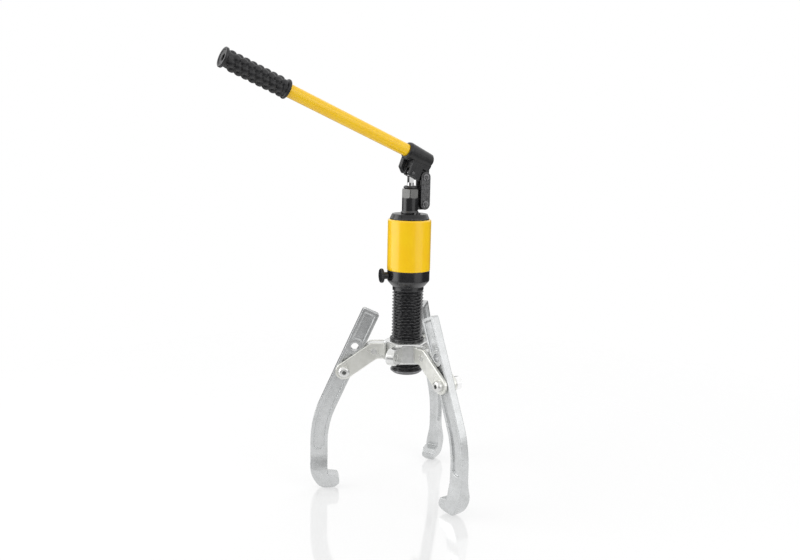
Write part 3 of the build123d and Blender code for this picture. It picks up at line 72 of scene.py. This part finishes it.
class Graph:
    """One material's node tree, with a short call for each kind of node used here."""

    def __init__(self, name):
        self.material = bpy.data.materials.new(name)
        self.material.use_nodes = True
        self.tree = self.material.node_tree
        self.shader = self.tree.nodes["Principled BSDF"]
        self.place = self.node("ShaderNodeTexCoord").outputs["Object"]

    def node(self, kind, **settings):
        made = self.tree.nodes.new(kind)
        for key, value in settings.items():
            setattr(made, key, value)
        return made

    def feed(self, socket, value):
        """Give an input either a link or a plain value."""
        if isinstance(value, bpy.types.NodeSocket):
            self.tree.links.new(value, socket)
        elif isinstance(value, tuple) and len(value) == 3 and socket.type == "RGBA":
            socket.default_value = (*value, 1.0)
        else:
            socket.default_value = value

    def set(self, **inputs):
        """Feed the shader's inputs; an underscore stands for a space."""
        for key, value in inputs.items():
            self.feed(self.shader.inputs[key.replace("_", " ")], value)

    def stretched(self, scale):
        """Object coordinates with each axis scaled."""
        mapping = self.node("ShaderNodeMapping")
        self.feed(mapping.inputs["Vector"], self.place)
        mapping.inputs["Scale"].default_value = scale
        return mapping.outputs["Vector"]

    def noise(self, size_mm, detail, roughness=0.55, stretch=(1, 1, 1)):
        """Soft noise whose blobs measure about size_mm."""
        made = self.node("ShaderNodeTexNoise")
        self.feed(made.inputs["Vector"], self.stretched(stretch))
        made.inputs["Scale"].default_value = 1 / (size_mm * MM)
        made.inputs["Detail"].default_value = detail
        made.inputs["Roughness"].default_value = roughness
        return made.outputs["Fac"]

    def cells(self, size_mm):
        """Distance to the nearest of scattered points, for pits."""
        made = self.node("ShaderNodeTexVoronoi")
        self.feed(made.inputs["Vector"], self.place)
        made.inputs["Scale"].default_value = 1 / (size_mm * MM)
        return made.outputs["Distance"]

    def ramp(self, value, low, high, out_low=0.0, out_high=1.0):
        """Remap low..high to out_low..out_high, clamped."""
        made = self.node("ShaderNodeMapRange")
        self.feed(made.inputs["Value"], value)
        made.inputs["From Min"].default_value = low
        made.inputs["From Max"].default_value = high
        made.inputs["To Min"].default_value = out_low
        made.inputs["To Max"].default_value = out_high
        return made.outputs["Result"]

    def mix(self, factor, first, second):
        """Blend two colours; the factor 0 gives the first."""
        made = self.node("ShaderNodeMix", data_type="RGBA")
        self.feed(made.inputs["Factor"], factor)
        self.feed(made.inputs[COLOUR_A], first)
        self.feed(made.inputs[COLOUR_B], second)
        return made.outputs[COLOUR_OUT]

    def combine(self, operation, first, second):
        """Add or multiply two values."""
        made = self.node("ShaderNodeMath", operation=operation)
        self.feed(made.inputs[0], first)
        self.feed(made.inputs[1], second)
        return made.outputs[0]

    def edges(self, low=BARELY_POINTED, high=POINTED):
        """1 on convex edges, 0 on flats, from how pointed the mesh is there."""
        return self.ramp(self.node("ShaderNodeNewGeometry").outputs["Pointiness"], low, high)

    def bump(self, height, depth_mm, strength):
        """Lean the surface as a height of depth_mm would."""
        made = self.node("ShaderNodeBump")
        self.feed(made.inputs["Height"], height)
        made.inputs["Distance"].default_value = depth_mm * MM
        made.inputs["Strength"].default_value = strength
        self.feed(self.shader.inputs["Normal"], made.outputs["Normal"])


ZINC_FLECK = (0.76, 0.77, 0.77)
ZINC_CORNER_SHADE = (0.10, 0.105, 0.10)
ZINC_EDGE_HIGHLIGHT = (0.95, 0.95, 0.95)
STEEL_RUBBED = (0.09, 0.09, 0.093)
CASTING_RUBBED = (0.11, 0.11, 0.115)
RUBBER_DUST = (0.05, 0.05, 0.052)
YELLOW = (1.0, 0.63, 0.0)
YELLOW_DEEP = (1.0, 0.59, 0.0)
YELLOW_DUSTY = (0.90, 0.48, 0.0)


def zinc_plate(name, grain_mm, base, shade, rough):
    """Bright zinc over a forging, faintly mottled, with painted shade darkening its corners and a painted
    highlight lightening its convex edges.
    """
    g = Graph(name)
    tint = g.mix(g.ramp(g.noise(16, 4), 0.35, 0.7), base, shade)
    tint = g.mix(g.ramp(g.noise(5, 4), 0.3, 0.7, 0.0, 0.12), tint, ZINC_FLECK)
    # Painted shade: concave corners and creases are darkened towards a near-black tone.
    tint = g.mix(g.ramp(g.edges(0.40, 0.465), 0, 1, 0.9, 0), tint, ZINC_CORNER_SHADE)
    # Painted highlight: convex edges are lightened towards near-white.
    tint = g.mix(g.edges(0.545, 0.63), tint, ZINC_EDGE_HIGHLIGHT)
    g.set(Base_Color=tint, Metallic=g.ramp(g.noise(8, 4), 0.3, 0.7, 0.62, 0.74))
    g.set(Roughness=g.ramp(g.noise(12, 3), 0.3, 0.75, *rough))
    g.bump(g.noise(grain_mm, 2), 0.05, 0.10)
    return g.material


def black_steel(name, base=(0.007, 0.007, 0.008), rough=(0.2, 0.3), shine=0.8):
    """Black finish on machined steel, rubbed paler on the edges."""
    g = Graph(name)
    patch = g.noise(9, 5)
    colour = g.mix(g.ramp(patch, 0.35, 0.7), base, tuple(1.9 * c for c in base))
    worn = g.combine("MULTIPLY", g.edges(0.51, 0.58), g.ramp(g.noise(2.5, 5), 0.4, 0.62))
    colour = g.mix(worn, colour, STEEL_RUBBED)
    g.set(Base_Color=colour, Specular_IOR_Level=shine)
    g.set(Roughness=g.ramp(g.noise(6, 4), 0.3, 0.75, *rough))
    g.bump(g.noise(0.8, 3), 0.01, 0.25)
    return g.material


def yellow_paint():
    """Glossy enamel with a little orange peel and faint dust."""
    g = Graph("yellow_paint")
    colour = g.mix(g.ramp(g.noise(30, 4), 0.35, 0.7), YELLOW, YELLOW_DEEP)
    colour = g.mix(g.ramp(g.noise(4, 4), 0.6, 0.8, 0, 0.2), colour, YELLOW_DUSTY)
    g.set(Base_Color=colour, Coat_Weight=0.5, Specular_IOR_Level=0.35)
    g.set(Roughness=g.ramp(g.noise(6, 6), 0.3, 0.75, 0.3, 0.4))
    g.set(Coat_Roughness=g.ramp(g.noise(11, 4), 0.3, 0.7, 0.08, 0.16))
    g.bump(g.noise(3, 2), 0.01, 0.2)
    return g.material


def cast_black():
    """Black paint over a sand casting: pitted, with rubbed edges."""
    g = Graph("cast_black")
    colour = g.mix(g.ramp(g.noise(5, 4), 0.35, 0.7), (0.007, 0.007, 0.008), (0.016, 0.016, 0.017))
    worn = g.combine("MULTIPLY", g.edges(), g.ramp(g.noise(1.6, 5), 0.35, 0.6))
    colour = g.mix(worn, colour, CASTING_RUBBED)
    g.set(Base_Color=colour, Specular_IOR_Level=0.45)
    g.set(Roughness=g.ramp(g.noise(2.5, 4), 0.3, 0.75, 0.24, 0.4))
    g.bump(g.combine("ADD", g.noise(1.6, 3), g.ramp(g.cells(2.2), 0.0, 0.5)), 0.08, 0.3)
    return g.material


def moulded_rubber(name="grip_rubber", base=(0.010, 0.010, 0.011), rough=(0.30, 0.46)):
    """Matte rubber, dusty on the high spots."""
    g = Graph(name)
    colour = g.mix(g.ramp(g.noise(7, 6), 0.4, 0.75), base, tuple(2.2 * c for c in base))
    colour = g.mix(g.ramp(g.edges(0.5, 0.62), 0.2, 1.0, 0.0, 0.5), colour, RUBBER_DUST)
    g.set(Base_Color=colour, Roughness=g.ramp(g.noise(2.2, 6), 0.3, 0.75, *rough))
    g.bump(g.noise(0.35, 3), 0.03, 0.5)
    return g.material


def bare_steel(name, base, rough, streak=(1, 1, 1), depth=0.01):
    """Bare metal with fine directional machining marks."""
    g = Graph(name)
    lines = g.noise(0.5, 3, 0.6, streak)
    colour = g.mix(g.ramp(g.noise(6, 5), 0.35, 0.7), base, tuple(0.82 * c for c in base))
    g.set(Base_Color=colour, Metallic=1.0)
    handled = g.ramp(g.noise(4, 4), 0.4, 0.8, 0, 0.06)
    g.set(Roughness=g.combine("ADD", g.ramp(lines, 0.3, 0.7, *rough), handled))
    g.bump(lines, depth, 0.5)
    return g.material


MATERIALS = {
    "zinc_plate": zinc_plate("zinc_plate", 2.2, (0.60, 0.61, 0.615), (0.53, 0.54, 0.54), (0.2, 0.31)),
    "zinc_arm": zinc_plate("zinc_arm", 1.6, (0.80, 0.80, 0.76), (0.72, 0.72, 0.67), (0.26, 0.38)),
    "zinc_hub": zinc_plate("zinc_hub", 2.0, (0.78, 0.785, 0.78), (0.70, 0.70, 0.68), (0.12, 0.22)),
    "zinc_fastener": zinc_plate("zinc_fastener", 0.6, (0.74, 0.74, 0.73), (0.66, 0.66, 0.64), (0.16, 0.26)),
    "blacked_steel": black_steel("blacked_steel"),
    "black_paint": black_steel("black_paint", (0.005, 0.005, 0.006), (0.1, 0.18), shine=0.45),
    "cast_black": cast_black(),
    "yellow_paint": yellow_paint(),
    "grip_rubber": moulded_rubber(),
    "seal_rubber": moulded_rubber("seal_rubber", (0.02, 0.02, 0.02), (0.35, 0.5)),
    "polished_steel": bare_steel("polished_steel", (0.86, 0.86, 0.86), (0.05, 0.12), (1, 1, 0.15), 0.003),
    "grey_nut_steel": bare_steel("grey_nut_steel", (0.21, 0.21, 0.205), (0.2, 0.3)),
    "spring_steel": bare_steel("spring_steel", (0.30, 0.30, 0.31), (0.25, 0.4)),
    "black_plastic": moulded_rubber("black_plastic", (0.030, 0.030, 0.031), (0.3, 0.42)),
}


def dress(piece, slot_name):
    """Give a piece the material of one of the record's slots."""
    piece.data.materials.clear()
    piece.data.materials.append(MATERIALS[slot_name])


for node_name, node in NODES.items():
    dress(node, SLOT_OF[node_name])


# ---------------------------------------------------------------- mesh tools

SHARP_DEGREES = 38
CORNER_STEPS = 4
MOST_OF_A_SIDE = 0.49
SAME_POINT = 1e-6


def add_object(name, mesh):
    """A new object in the scene."""
    made = bpy.data.objects.new(name, mesh)
    bpy.context.scene.collection.objects.link(made)
    return made


def smooth_with_sharp_edges(mesh):
    """Shade smooth, keeping the sharper edges crisp."""
    shape = bmesh.new()
    shape.from_mesh(mesh)
    limit = math.radians(SHARP_DEGREES)
    for face in shape.faces:
        face.smooth = True
    for edge in shape.edges:
        edge.smooth = edge.calc_face_angle(0) < limit
    shape.to_mesh(mesh)
    shape.free()


def rounded(points):
    """Round an outline's corners. A point is (radius, height), and a third number is how far from the
    corner its rounding starts."""
    outline = []
    for index, point in enumerate(points):
        corner = Vector(point[:2])
        if len(point) == 2:
            outline.append(tuple(corner))
            continue
        before = Vector(points[index - 1][:2]) - corner
        after = Vector(points[index + 1][:2]) - corner
        start = corner + before.normalized() * min(point[2], before.length * MOST_OF_A_SIDE)
        end = corner + after.normalized() * min(point[2], after.length * MOST_OF_A_SIDE)
        for step in range(CORNER_STEPS + 1):
            t = step / CORNER_STEPS
            outline.append(tuple(start * (1 - t) ** 2 + corner * 2 * t * (1 - t) + end * t ** 2))
    return outline


def skin(name, rows, segments, place=None):
    """A closed surface of rings about Z; a row is (radius, height) in mm, or a function of the angle."""
    shape = bmesh.new()
    rings = []
    for row in rows:
        ring = []
        for index in range(segments):
            angle = math.tau * index / segments
            radius, height = row(angle) if callable(row) else row
            x = radius * MM * math.cos(angle)
            y = radius * MM * math.sin(angle)
            ring.append(shape.verts.new((x, y, height * MM)))
        rings.append(ring)
    for lower, upper in zip(rings, rings[1:] + rings[:1]):
        for index in range(segments):
            after = (index + 1) % segments
            shape.faces.new((lower[index], lower[after], upper[after], upper[index]))
    bmesh.ops.remove_doubles(shape, verts=shape.verts, dist=SAME_POINT)
    bmesh.ops.recalc_face_normals(shape, faces=shape.faces)
    if place is not None:
        bmesh.ops.transform(shape, matrix=place, verts=shape.verts)
    mesh = bpy.data.meshes.new(name)
    shape.to_mesh(mesh)
    shape.free()
    smooth_with_sharp_edges(mesh)
    return add_object(name, mesh)


def baked(piece):
    """Apply a piece's modifiers to its mesh."""
    bpy.context.view_layer.update()
    shown = piece.evaluated_get(bpy.context.evaluated_depsgraph_get())
    mesh = bpy.data.meshes.new_from_object(shown)
    piece.modifiers.clear()
    piece.data = mesh
    return piece


ROUGHNESS_GRAIN = 2.5
ROUGHNESS_FADE = 0.7
ROUGHNESS_STEP = 2.1
ROUGHNESS_LAYERS = 3


def softened(node, name, voxel_mm, rounds, rough_mm=0.0):
    """A CAD node's shape with its edges rounded as a forging's are, and uneven by rough_mm."""
    mesh = NODES[node].data.copy()
    shape = bmesh.new()
    shape.from_mesh(mesh)
    bmesh.ops.remove_doubles(shape, verts=shape.verts, dist=SAME_POINT)
    shape.to_mesh(mesh)
    shape.free()
    piece = add_object(name, mesh)
    remesh = piece.modifiers.new("remesh", "REMESH")
    remesh.mode = "VOXEL"
    remesh.voxel_size = voxel_mm * MM
    smooth = piece.modifiers.new("smooth", "SMOOTH")
    smooth.factor = 0.5
    smooth.iterations = rounds
    baked(piece)
    if rough_mm:
        normals = [vertex.normal.copy() for vertex in piece.data.vertices]
        for vertex, normal in zip(piece.data.vertices, normals):
            place = vertex.co / (ROUGHNESS_GRAIN * MM)
            height = noise.fractal(place, ROUGHNESS_FADE, ROUGHNESS_STEP, ROUGHNESS_LAYERS)
            vertex.co += normal * (height * rough_mm * MM)
    for polygon in piece.data.polygons:
        polygon.use_smooth = True
    return piece


def stand_in(piece, body, *nodes, finish=None):
    """Dress a piece like the CAD node it replaces, or in another finish, and let it ride on a body."""
    slot_name = SLOT_OF[nodes[0]]
    dress(piece, finish or slot_name)
    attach(piece, body)
    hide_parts(*nodes)
    return piece


def smoothstep(value):
    """Ease from 0 to 1."""
    value = max(0.0, min(1.0, value))
    return value * value * (3 - 2 * value)


# ---------------------------------------------------------------- barrel

# Radii, and heights above the barrel's nose, in mm.
THREAD_R = 24.0
THREAD_DEPTH = 2.6
THREAD_PITCH = 5.0
THREAD_START = 7.0
THREAD_END = 132.0
THREAD_FADE = 4.0
THREAD_ROW = 0.3
LEAD_IN_R = 22.6
LEAD_IN_SLOPE = 0.8
CREST_HALF = 0.22
FLANK = 1.75
NOSE_R = 23.2
STOP_GROOVE_R = 21.8
RAM_BORE_R = 13.05
SEAL_GROOVE_R = 16.0
OIL_BORE_R = 17.0
TUBE_R = 22.5
TUBE_TOP = 230.0
SPIGOT_R = 29.95
SPIGOT_TOP = 168.0
BASE_RING_R = 32.5
BASE_RING_TOP = 161.5
BARREL_SEGMENTS = 128


def thread_radius(angle, height, nose):
    """The radius of a right-hand thread at an angle and height, fading to the crest at its upper end."""
    start, end = nose + THREAD_START, nose + THREAD_END
    phase = (height / THREAD_PITCH - angle / math.tau) % 1.0
    from_crest = abs(phase - 0.5) * THREAD_PITCH
    radius = THREAD_R - THREAD_DEPTH * max(0.0, min(1.0, (from_crest - CREST_HALF) / FLANK))
    radius += (THREAD_R - radius) * (1 - smoothstep((end - height) / THREAD_FADE))
    return min(radius, LEAD_IN_R + (height - start) * LEAD_IN_SLOPE)


def make_barrel():
    """Nose, stop-ring groove, right-hand thread, flared neck, base ring and bore in one closed skin."""
    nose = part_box("threaded_barrel")[0].z / MM
    start, end = nose + THREAD_START, nose + THREAD_END
    below = rounded([
        (RAM_BORE_R, nose), (21.4, nose), (NOSE_R, nose + 1.8, 0.6), (NOSE_R, nose + 2.6, 0.2),
        (STOP_GROOVE_R, nose + 2.6), (STOP_GROOVE_R, nose + 5.1),
        (NOSE_R, nose + 5.1, 0.2), (NOSE_R, nose + 6.5, 0.3), (22.2, start - 0.2),
    ])
    count = int((end - start) / THREAD_ROW)
    heights = [start + (end - start) * index / count for index in range(count + 1)]
    thread = [lambda angle, z=height: (thread_radius(angle, z, nose), z) for height in heights]
    above = rounded([
        (THREAD_R, end), (THREAD_R, nose + 136.5, 0.8), (25.4, nose + 136.9, 0.6),
        (BASE_RING_R, nose + 145, 2.0), (BASE_RING_R, nose + 161.2, 0.5), (31.9, nose + BASE_RING_TOP),
        (SPIGOT_R, nose + BASE_RING_TOP), (SPIGOT_R, nose + SPIGOT_TOP),
        (TUBE_R, nose + SPIGOT_TOP), (TUBE_R, nose + TUBE_TOP),
        (OIL_BORE_R, nose + TUBE_TOP), (OIL_BORE_R, nose + 14), (RAM_BORE_R, nose + 14),
        (RAM_BORE_R, nose + 8), (SEAL_GROOVE_R, nose + 8), (SEAL_GROOVE_R, nose + 3),
        (RAM_BORE_R, nose + 3),
    ])
    barrel = skin("barrel_skin", below + thread + above, BARREL_SEGMENTS)
    stand_in(barrel, "hydraulic", "threaded_barrel")


make_barrel()


# ---------------------------------------------------------------- handle and grip

def centre(node):
    """The middle of a node's box."""
    low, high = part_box(node)
    return (low + high) / 2


HANDLE_DIRECTION = (centre("handle_grip") - centre("handle_tube")).normalized()
HANDLE_SIDE = Vector(JOINTS["lever_pump"]["axis"])
HANDLE_UP = HANDLE_SIDE.cross(HANDLE_DIRECTION)
if HANDLE_UP.z < 0:
    HANDLE_UP.negate()
GRIP_LENGTH = 98.0  # mm, as every grip size below
GRIP_ORIGIN = centre("handle_grip") - HANDLE_DIRECTION * (GRIP_LENGTH / 2 * MM)


def frame_matrix(origin, z_axis, x_axis):
    """A placing matrix with local Z and local X along two given directions."""
    z = Vector(z_axis).normalized()
    x = Vector(x_axis).normalized()
    y = z.cross(x)
    rows = [(x[axis], y[axis], z[axis], origin[axis]) for axis in range(3)]
    return Matrix((*rows, (0, 0, 0, 1)))


BUMP_PITCH = 10.3
BUMP_COLUMNS = 6
BUMPS_IN_COLUMN = 8
BUMP_FIRST = 14.1
BUMP_HEIGHT = 2.7
BUMP_HALF_LENGTH = 5.5
BUMP_HALF_WIDTH = 6.9
BUMP_WIDTH_R = 12.4
BUMP_ROUNDNESS = 0.72
BUMPS_FROM = 6.6
BUMPS_SHORT = 6.4
GRIP_ROW = 0.6
GRIP_VALLEY_R = 10.9
GRIP_FLANGE_R = 14.0
GRIP_SEGMENTS = 120


def grip_radius(angle, along):
    """Valley radius plus the nearest of the staggered oval bumps."""
    column_angle = math.tau / BUMP_COLUMNS
    rise = 0.0
    nearest = round(angle / column_angle)
    for column in (nearest - 1, nearest, nearest + 1):
        across = (angle - column * column_angle) * BUMP_WIDTH_R / BUMP_HALF_WIDTH
        first = BUMP_FIRST - (BUMP_PITCH / 2 if column % 2 else 0)
        index = max(0, min(BUMPS_IN_COLUMN - 1, round((along - first) / BUMP_PITCH)))
        lengthways = (along - first - index * BUMP_PITCH) / BUMP_HALF_LENGTH
        rise = max(rise, 1 - across ** 2 - lengthways ** 2)
    return GRIP_VALLEY_R + BUMP_HEIGHT * rise ** BUMP_ROUNDNESS


def make_grip():
    """Rubber grip: flanges at both ends, staggered bumps between them and a dished end with a hole."""
    length = GRIP_LENGTH
    inner_end = rounded([
        (9.45, 0.0), (13.2, 0.0, 0.7), (GRIP_FLANGE_R, 1.0, 0.8), (GRIP_FLANGE_R, 3.0, 0.9),
        (12.6, 4.2, 0.8), (GRIP_VALLEY_R, 5.2, 0.8), (GRIP_VALLEY_R, 6.4),
    ])
    count = int((length - BUMPS_FROM - BUMPS_SHORT) / GRIP_ROW)
    places = [BUMPS_FROM + index * GRIP_ROW for index in range(count + 1)]
    bumps = [lambda angle, along=along: (grip_radius(angle, along), along) for along in places]
    outer_end = rounded([
        (GRIP_VALLEY_R, length - 5.8), (GRIP_VALLEY_R, length - 5.4, 0.4), (13.3, length - 4.2, 0.7),
        (GRIP_FLANGE_R, length - 3.6, 0.6), (GRIP_FLANGE_R, length - 0.7, 0.6), (13.2, length, 0.5),
        (10.9, length, 0.6), (10.2, length - 1.2, 0.5), (5.6, length - 1.6, 0.4),
        (4.6, length - 2.4, 0.4), (4.2, length - 5.6), (0, length - 5.6),
    ])
    inside = [(0, length - 6.4), (9.42, length - 6.4)]
    place = frame_matrix(GRIP_ORIGIN, HANDLE_DIRECTION, HANDLE_UP)
    grip = skin("grip_skin", inner_end + bumps + outer_end + inside, GRIP_SEGMENTS, place)
    stand_in(grip, "lever", "handle_grip")


make_grip()


# ---------------------------------------------------------------- forged and cast pieces

stand_in(softened("crosshead", "crosshead_forging", 0.55, 8), "hub", "crosshead", finish="zinc_hub")
for arm in ARMS:
    stand_in(softened(f"jaw_{arm}", f"jaw_forging_{arm}", 0.55, 8), f"jaw_{arm}", f"jaw_{arm}")
    plates = softened(f"arm_plates_{arm}", f"arm_plates_stamped_{arm}", 0.5, 8)
    stand_in(plates, f"arm_{arm}", f"arm_plates_{arm}", finish="zinc_arm")
stand_in(softened("lever_socket", "lever_casting", 0.42, 7, rough_mm=0.05), "lever", "lever_socket")
stand_in(softened("release_valve", "valve_knob", 0.35, 4), "release_valve", "release_valve")
stand_in(softened("pump_body", "pump_casting", 0.45, 4), "hydraulic", "pump_body")
stand_in(softened("lock_ring", "lock_ring_turned", 0.45, 3), "lock_ring", "lock_ring")


# ---------------------------------------------------------------- return spring


def make_spring():
    """The ram's return spring, a copy of the CAD node's mesh riding on the hydraulic body."""
    spring = add_object("ram_spring_coil", NODES["return_spring"].data.copy())
    stand_in(spring, "hydraulic", "return_spring")
    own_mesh(spring)


make_spring()


# ---------------------------------------------------------------- stage, lights and camera

CAMERA_AT = (0.4793, -1.1133, 0.5498)
CAMERA_AZIMUTH = 23.89
CAMERA_PITCH = 10.06
CAMERA_ROLL = 1.22
FOCAL_LENGTH = 36.0
AIM_HEIGHT = 0.32
FLOOR_R = 4.0
FLOOR_DROP = 0.0005
FLOOR_FADE = (0.45, 1.1)
FLOOR_GLOW = 0.74
FLOOR_MIRROR = 0.3
FLOOR_MIRROR_ROUGHNESS = 0.07
STUDIO_DARK = 0.07
STUDIO_FRONT = 0.14
STUDIO_CEILING = 1.05
FILL_LOW = 0.35
FILL_HIGH = 0.85


def make_camera():
    """A camera at the photograph's viewing angle."""
    data = bpy.data.cameras.new("camera")
    data.lens = FOCAL_LENGTH
    data.sensor_width = 36.0
    camera = add_object("camera", data)
    camera.matrix_world = (
        Matrix.Translation(CAMERA_AT)
        @ Matrix.Rotation(math.radians(CAMERA_AZIMUTH), 4, "Z")
        @ Matrix.Rotation(math.radians(90 - CAMERA_PITCH), 4, "X")
        @ Matrix.Rotation(math.radians(CAMERA_ROLL), 4, "Z")
    )
    bpy.context.scene.camera = camera


def make_light(name, bearing, height, distance, width, tall, power, mirrored):
    """A softbox on a bearing from the camera's side, positive to its right: a mirrored one shows in
    reflections only, and the others light matt surfaces only."""
    data = bpy.data.lights.new(name, "AREA")
    data.shape = "RECTANGLE"
    data.size = width
    data.size_y = tall
    data.energy = power
    light = add_object(name, data)
    light.visible_glossy = mirrored
    light.visible_diffuse = not mirrored
    angle = math.radians(CAMERA_AZIMUTH - 90 + bearing)
    light.location = (distance * math.cos(angle), distance * math.sin(angle), height)
    aim = Vector((0, 0, AIM_HEIGHT)) - light.location
    light.rotation_euler = aim.to_track_quat("-Z", "Y").to_euler()
    return light


def make_floor():
    """A pale disc that fades into the backdrop's white towards its rim."""
    mesh = bpy.data.meshes.new("floor")
    shape = bmesh.new()
    bmesh.ops.create_circle(shape, cap_ends=True, segments=96, radius=FLOOR_R)
    shape.to_mesh(mesh)
    shape.free()
    floor = add_object("floor", mesh)
    floor.location.z = -FLOOR_DROP
    g = Graph("floor")
    grain = g.ramp(g.noise(3, 5), 0.3, 0.7, 0.0, 1.0)
    g.set(Base_Color=g.mix(grain, (0.28, 0.28, 0.28), (0.30, 0.30, 0.30)))
    g.set(Roughness=0.9, Specular_IOR_Level=0.0)
    g.set(Emission_Color=(1.0, 1.0, 1.0), Emission_Strength=FLOOR_GLOW)
    mirror = g.node("ShaderNodeBsdfGlossy")
    mirror.inputs["Roughness"].default_value = FLOOR_MIRROR_ROUGHNESS
    sheen = g.node("ShaderNodeMixShader")
    sheen.inputs["Fac"].default_value = FLOOR_MIRROR
    distance = g.node("ShaderNodeVectorMath", operation="LENGTH")
    g.feed(distance.inputs[0], g.place)
    clear = g.node("ShaderNodeBsdfTransparent")
    blend = g.node("ShaderNodeMixShader")
    g.feed(blend.inputs["Fac"], g.ramp(distance.outputs["Value"], *FLOOR_FADE))
    g.tree.links.new(g.shader.outputs["BSDF"], sheen.inputs[1])
    g.tree.links.new(mirror.outputs["BSDF"], sheen.inputs[2])
    g.tree.links.new(sheen.outputs["Shader"], blend.inputs[1])
    g.tree.links.new(clear.outputs["BSDF"], blend.inputs[2])
    g.tree.links.new(blend.outputs["Shader"], g.tree.nodes["Material Output"].inputs["Surface"])
    mesh.materials.append(g.material)
    return floor


def spare_floor(light, floor):
    """Keep a softbox's own reflection out of the floor."""
    spared = bpy.data.collections.new(f"{light.name}_spares")
    spared.objects.link(floor)
    spared.collection_objects[0].light_linking.link_state = "EXCLUDE"
    light.light_linking.receiver_collection = spared


def world_node(tree, kind, values, operation=None, output=0):
    """A node of the world, its inputs fed in order with links or plain values."""
    node = tree.nodes.new(kind)
    if operation:
        node.operation = operation
    for socket, value in zip(node.inputs, values):
        if isinstance(value, bpy.types.NodeSocket):
            tree.links.new(value, socket)
        else:
            socket.default_value = value
    return node.outputs[output]


def make_world():
    """White to the camera and a soft fill to matt surfaces. Shiny ones see a dark studio with a white
    ceiling, and a faint patch of light behind the camera."""
    world = bpy.data.worlds.new("studio")
    bpy.context.scene.world = world
    world.use_nodes = True
    tree = world.node_tree

    def along(direction):
        values = (where, direction)
        return world_node(tree, "ShaderNodeVectorMath", values, "DOT_PRODUCT", "Value")

    def ramp(*values):
        return world_node(tree, "ShaderNodeMapRange", values)

    def choose(factor, if_not, if_so):
        unused_vector_factor = (0, 0, 0)
        return world_node(tree, "ShaderNodeMix", (factor, unused_vector_factor, if_not, if_so))

    where = tree.nodes.new("ShaderNodeTexCoord").outputs["Generated"]
    path = tree.nodes.new("ShaderNodeLightPath")
    turn = math.radians(CAMERA_AZIMUTH)
    away = along((-math.sin(turn), math.cos(turn), 0))
    up = along((0, 0, 1))
    sweep = ramp(up, 0.06, 0.13, STUDIO_DARK, STUDIO_CEILING)
    front = ramp(away, -0.93, -0.62, STUDIO_FRONT, STUDIO_DARK)
    mirrored = world_node(tree, "ShaderNodeMath", (sweep, front), "MAXIMUM")
    fill = ramp(up, -0.3, 0.9, FILL_LOW, FILL_HIGH)
    unseen = choose(path.outputs["Is Glossy Ray"], fill, mirrored)
    seen = choose(path.outputs["Is Camera Ray"], unseen, 1.0)
    background = tree.nodes["Background"]
    background.inputs["Color"].default_value = (1, 1, 1, 1)
    tree.links.new(seen, background.inputs["Strength"])


make_world()
studio_floor = make_floor()
make_camera()
# Name, bearing in degrees, height, distance, width and tallness in m, and watts.
for softbox in (
    ("left_softbox", -82, 0.55, 1.5, 1.6, 1.5, 13.0),
    ("right_softbox", 54, 0.55, 1.5, 1.25, 1.5, 4.4),
):
    spare_floor(make_light(*softbox, mirrored=True), studio_floor)
for fill_light in (
    ("left_fill", -79, 0.75, 1.5, 1.3, 1.6, 14),
    ("right_fill", 54, 0.75, 1.6, 1.2, 1.6, 10),
    ("top_fill", 170, 1.6, 0.9, 1.6, 1.0, 6),
):
    make_light(*fill_light, mirrored=False)
bpy.context.scene.view_settings.view_transform = "Standard"
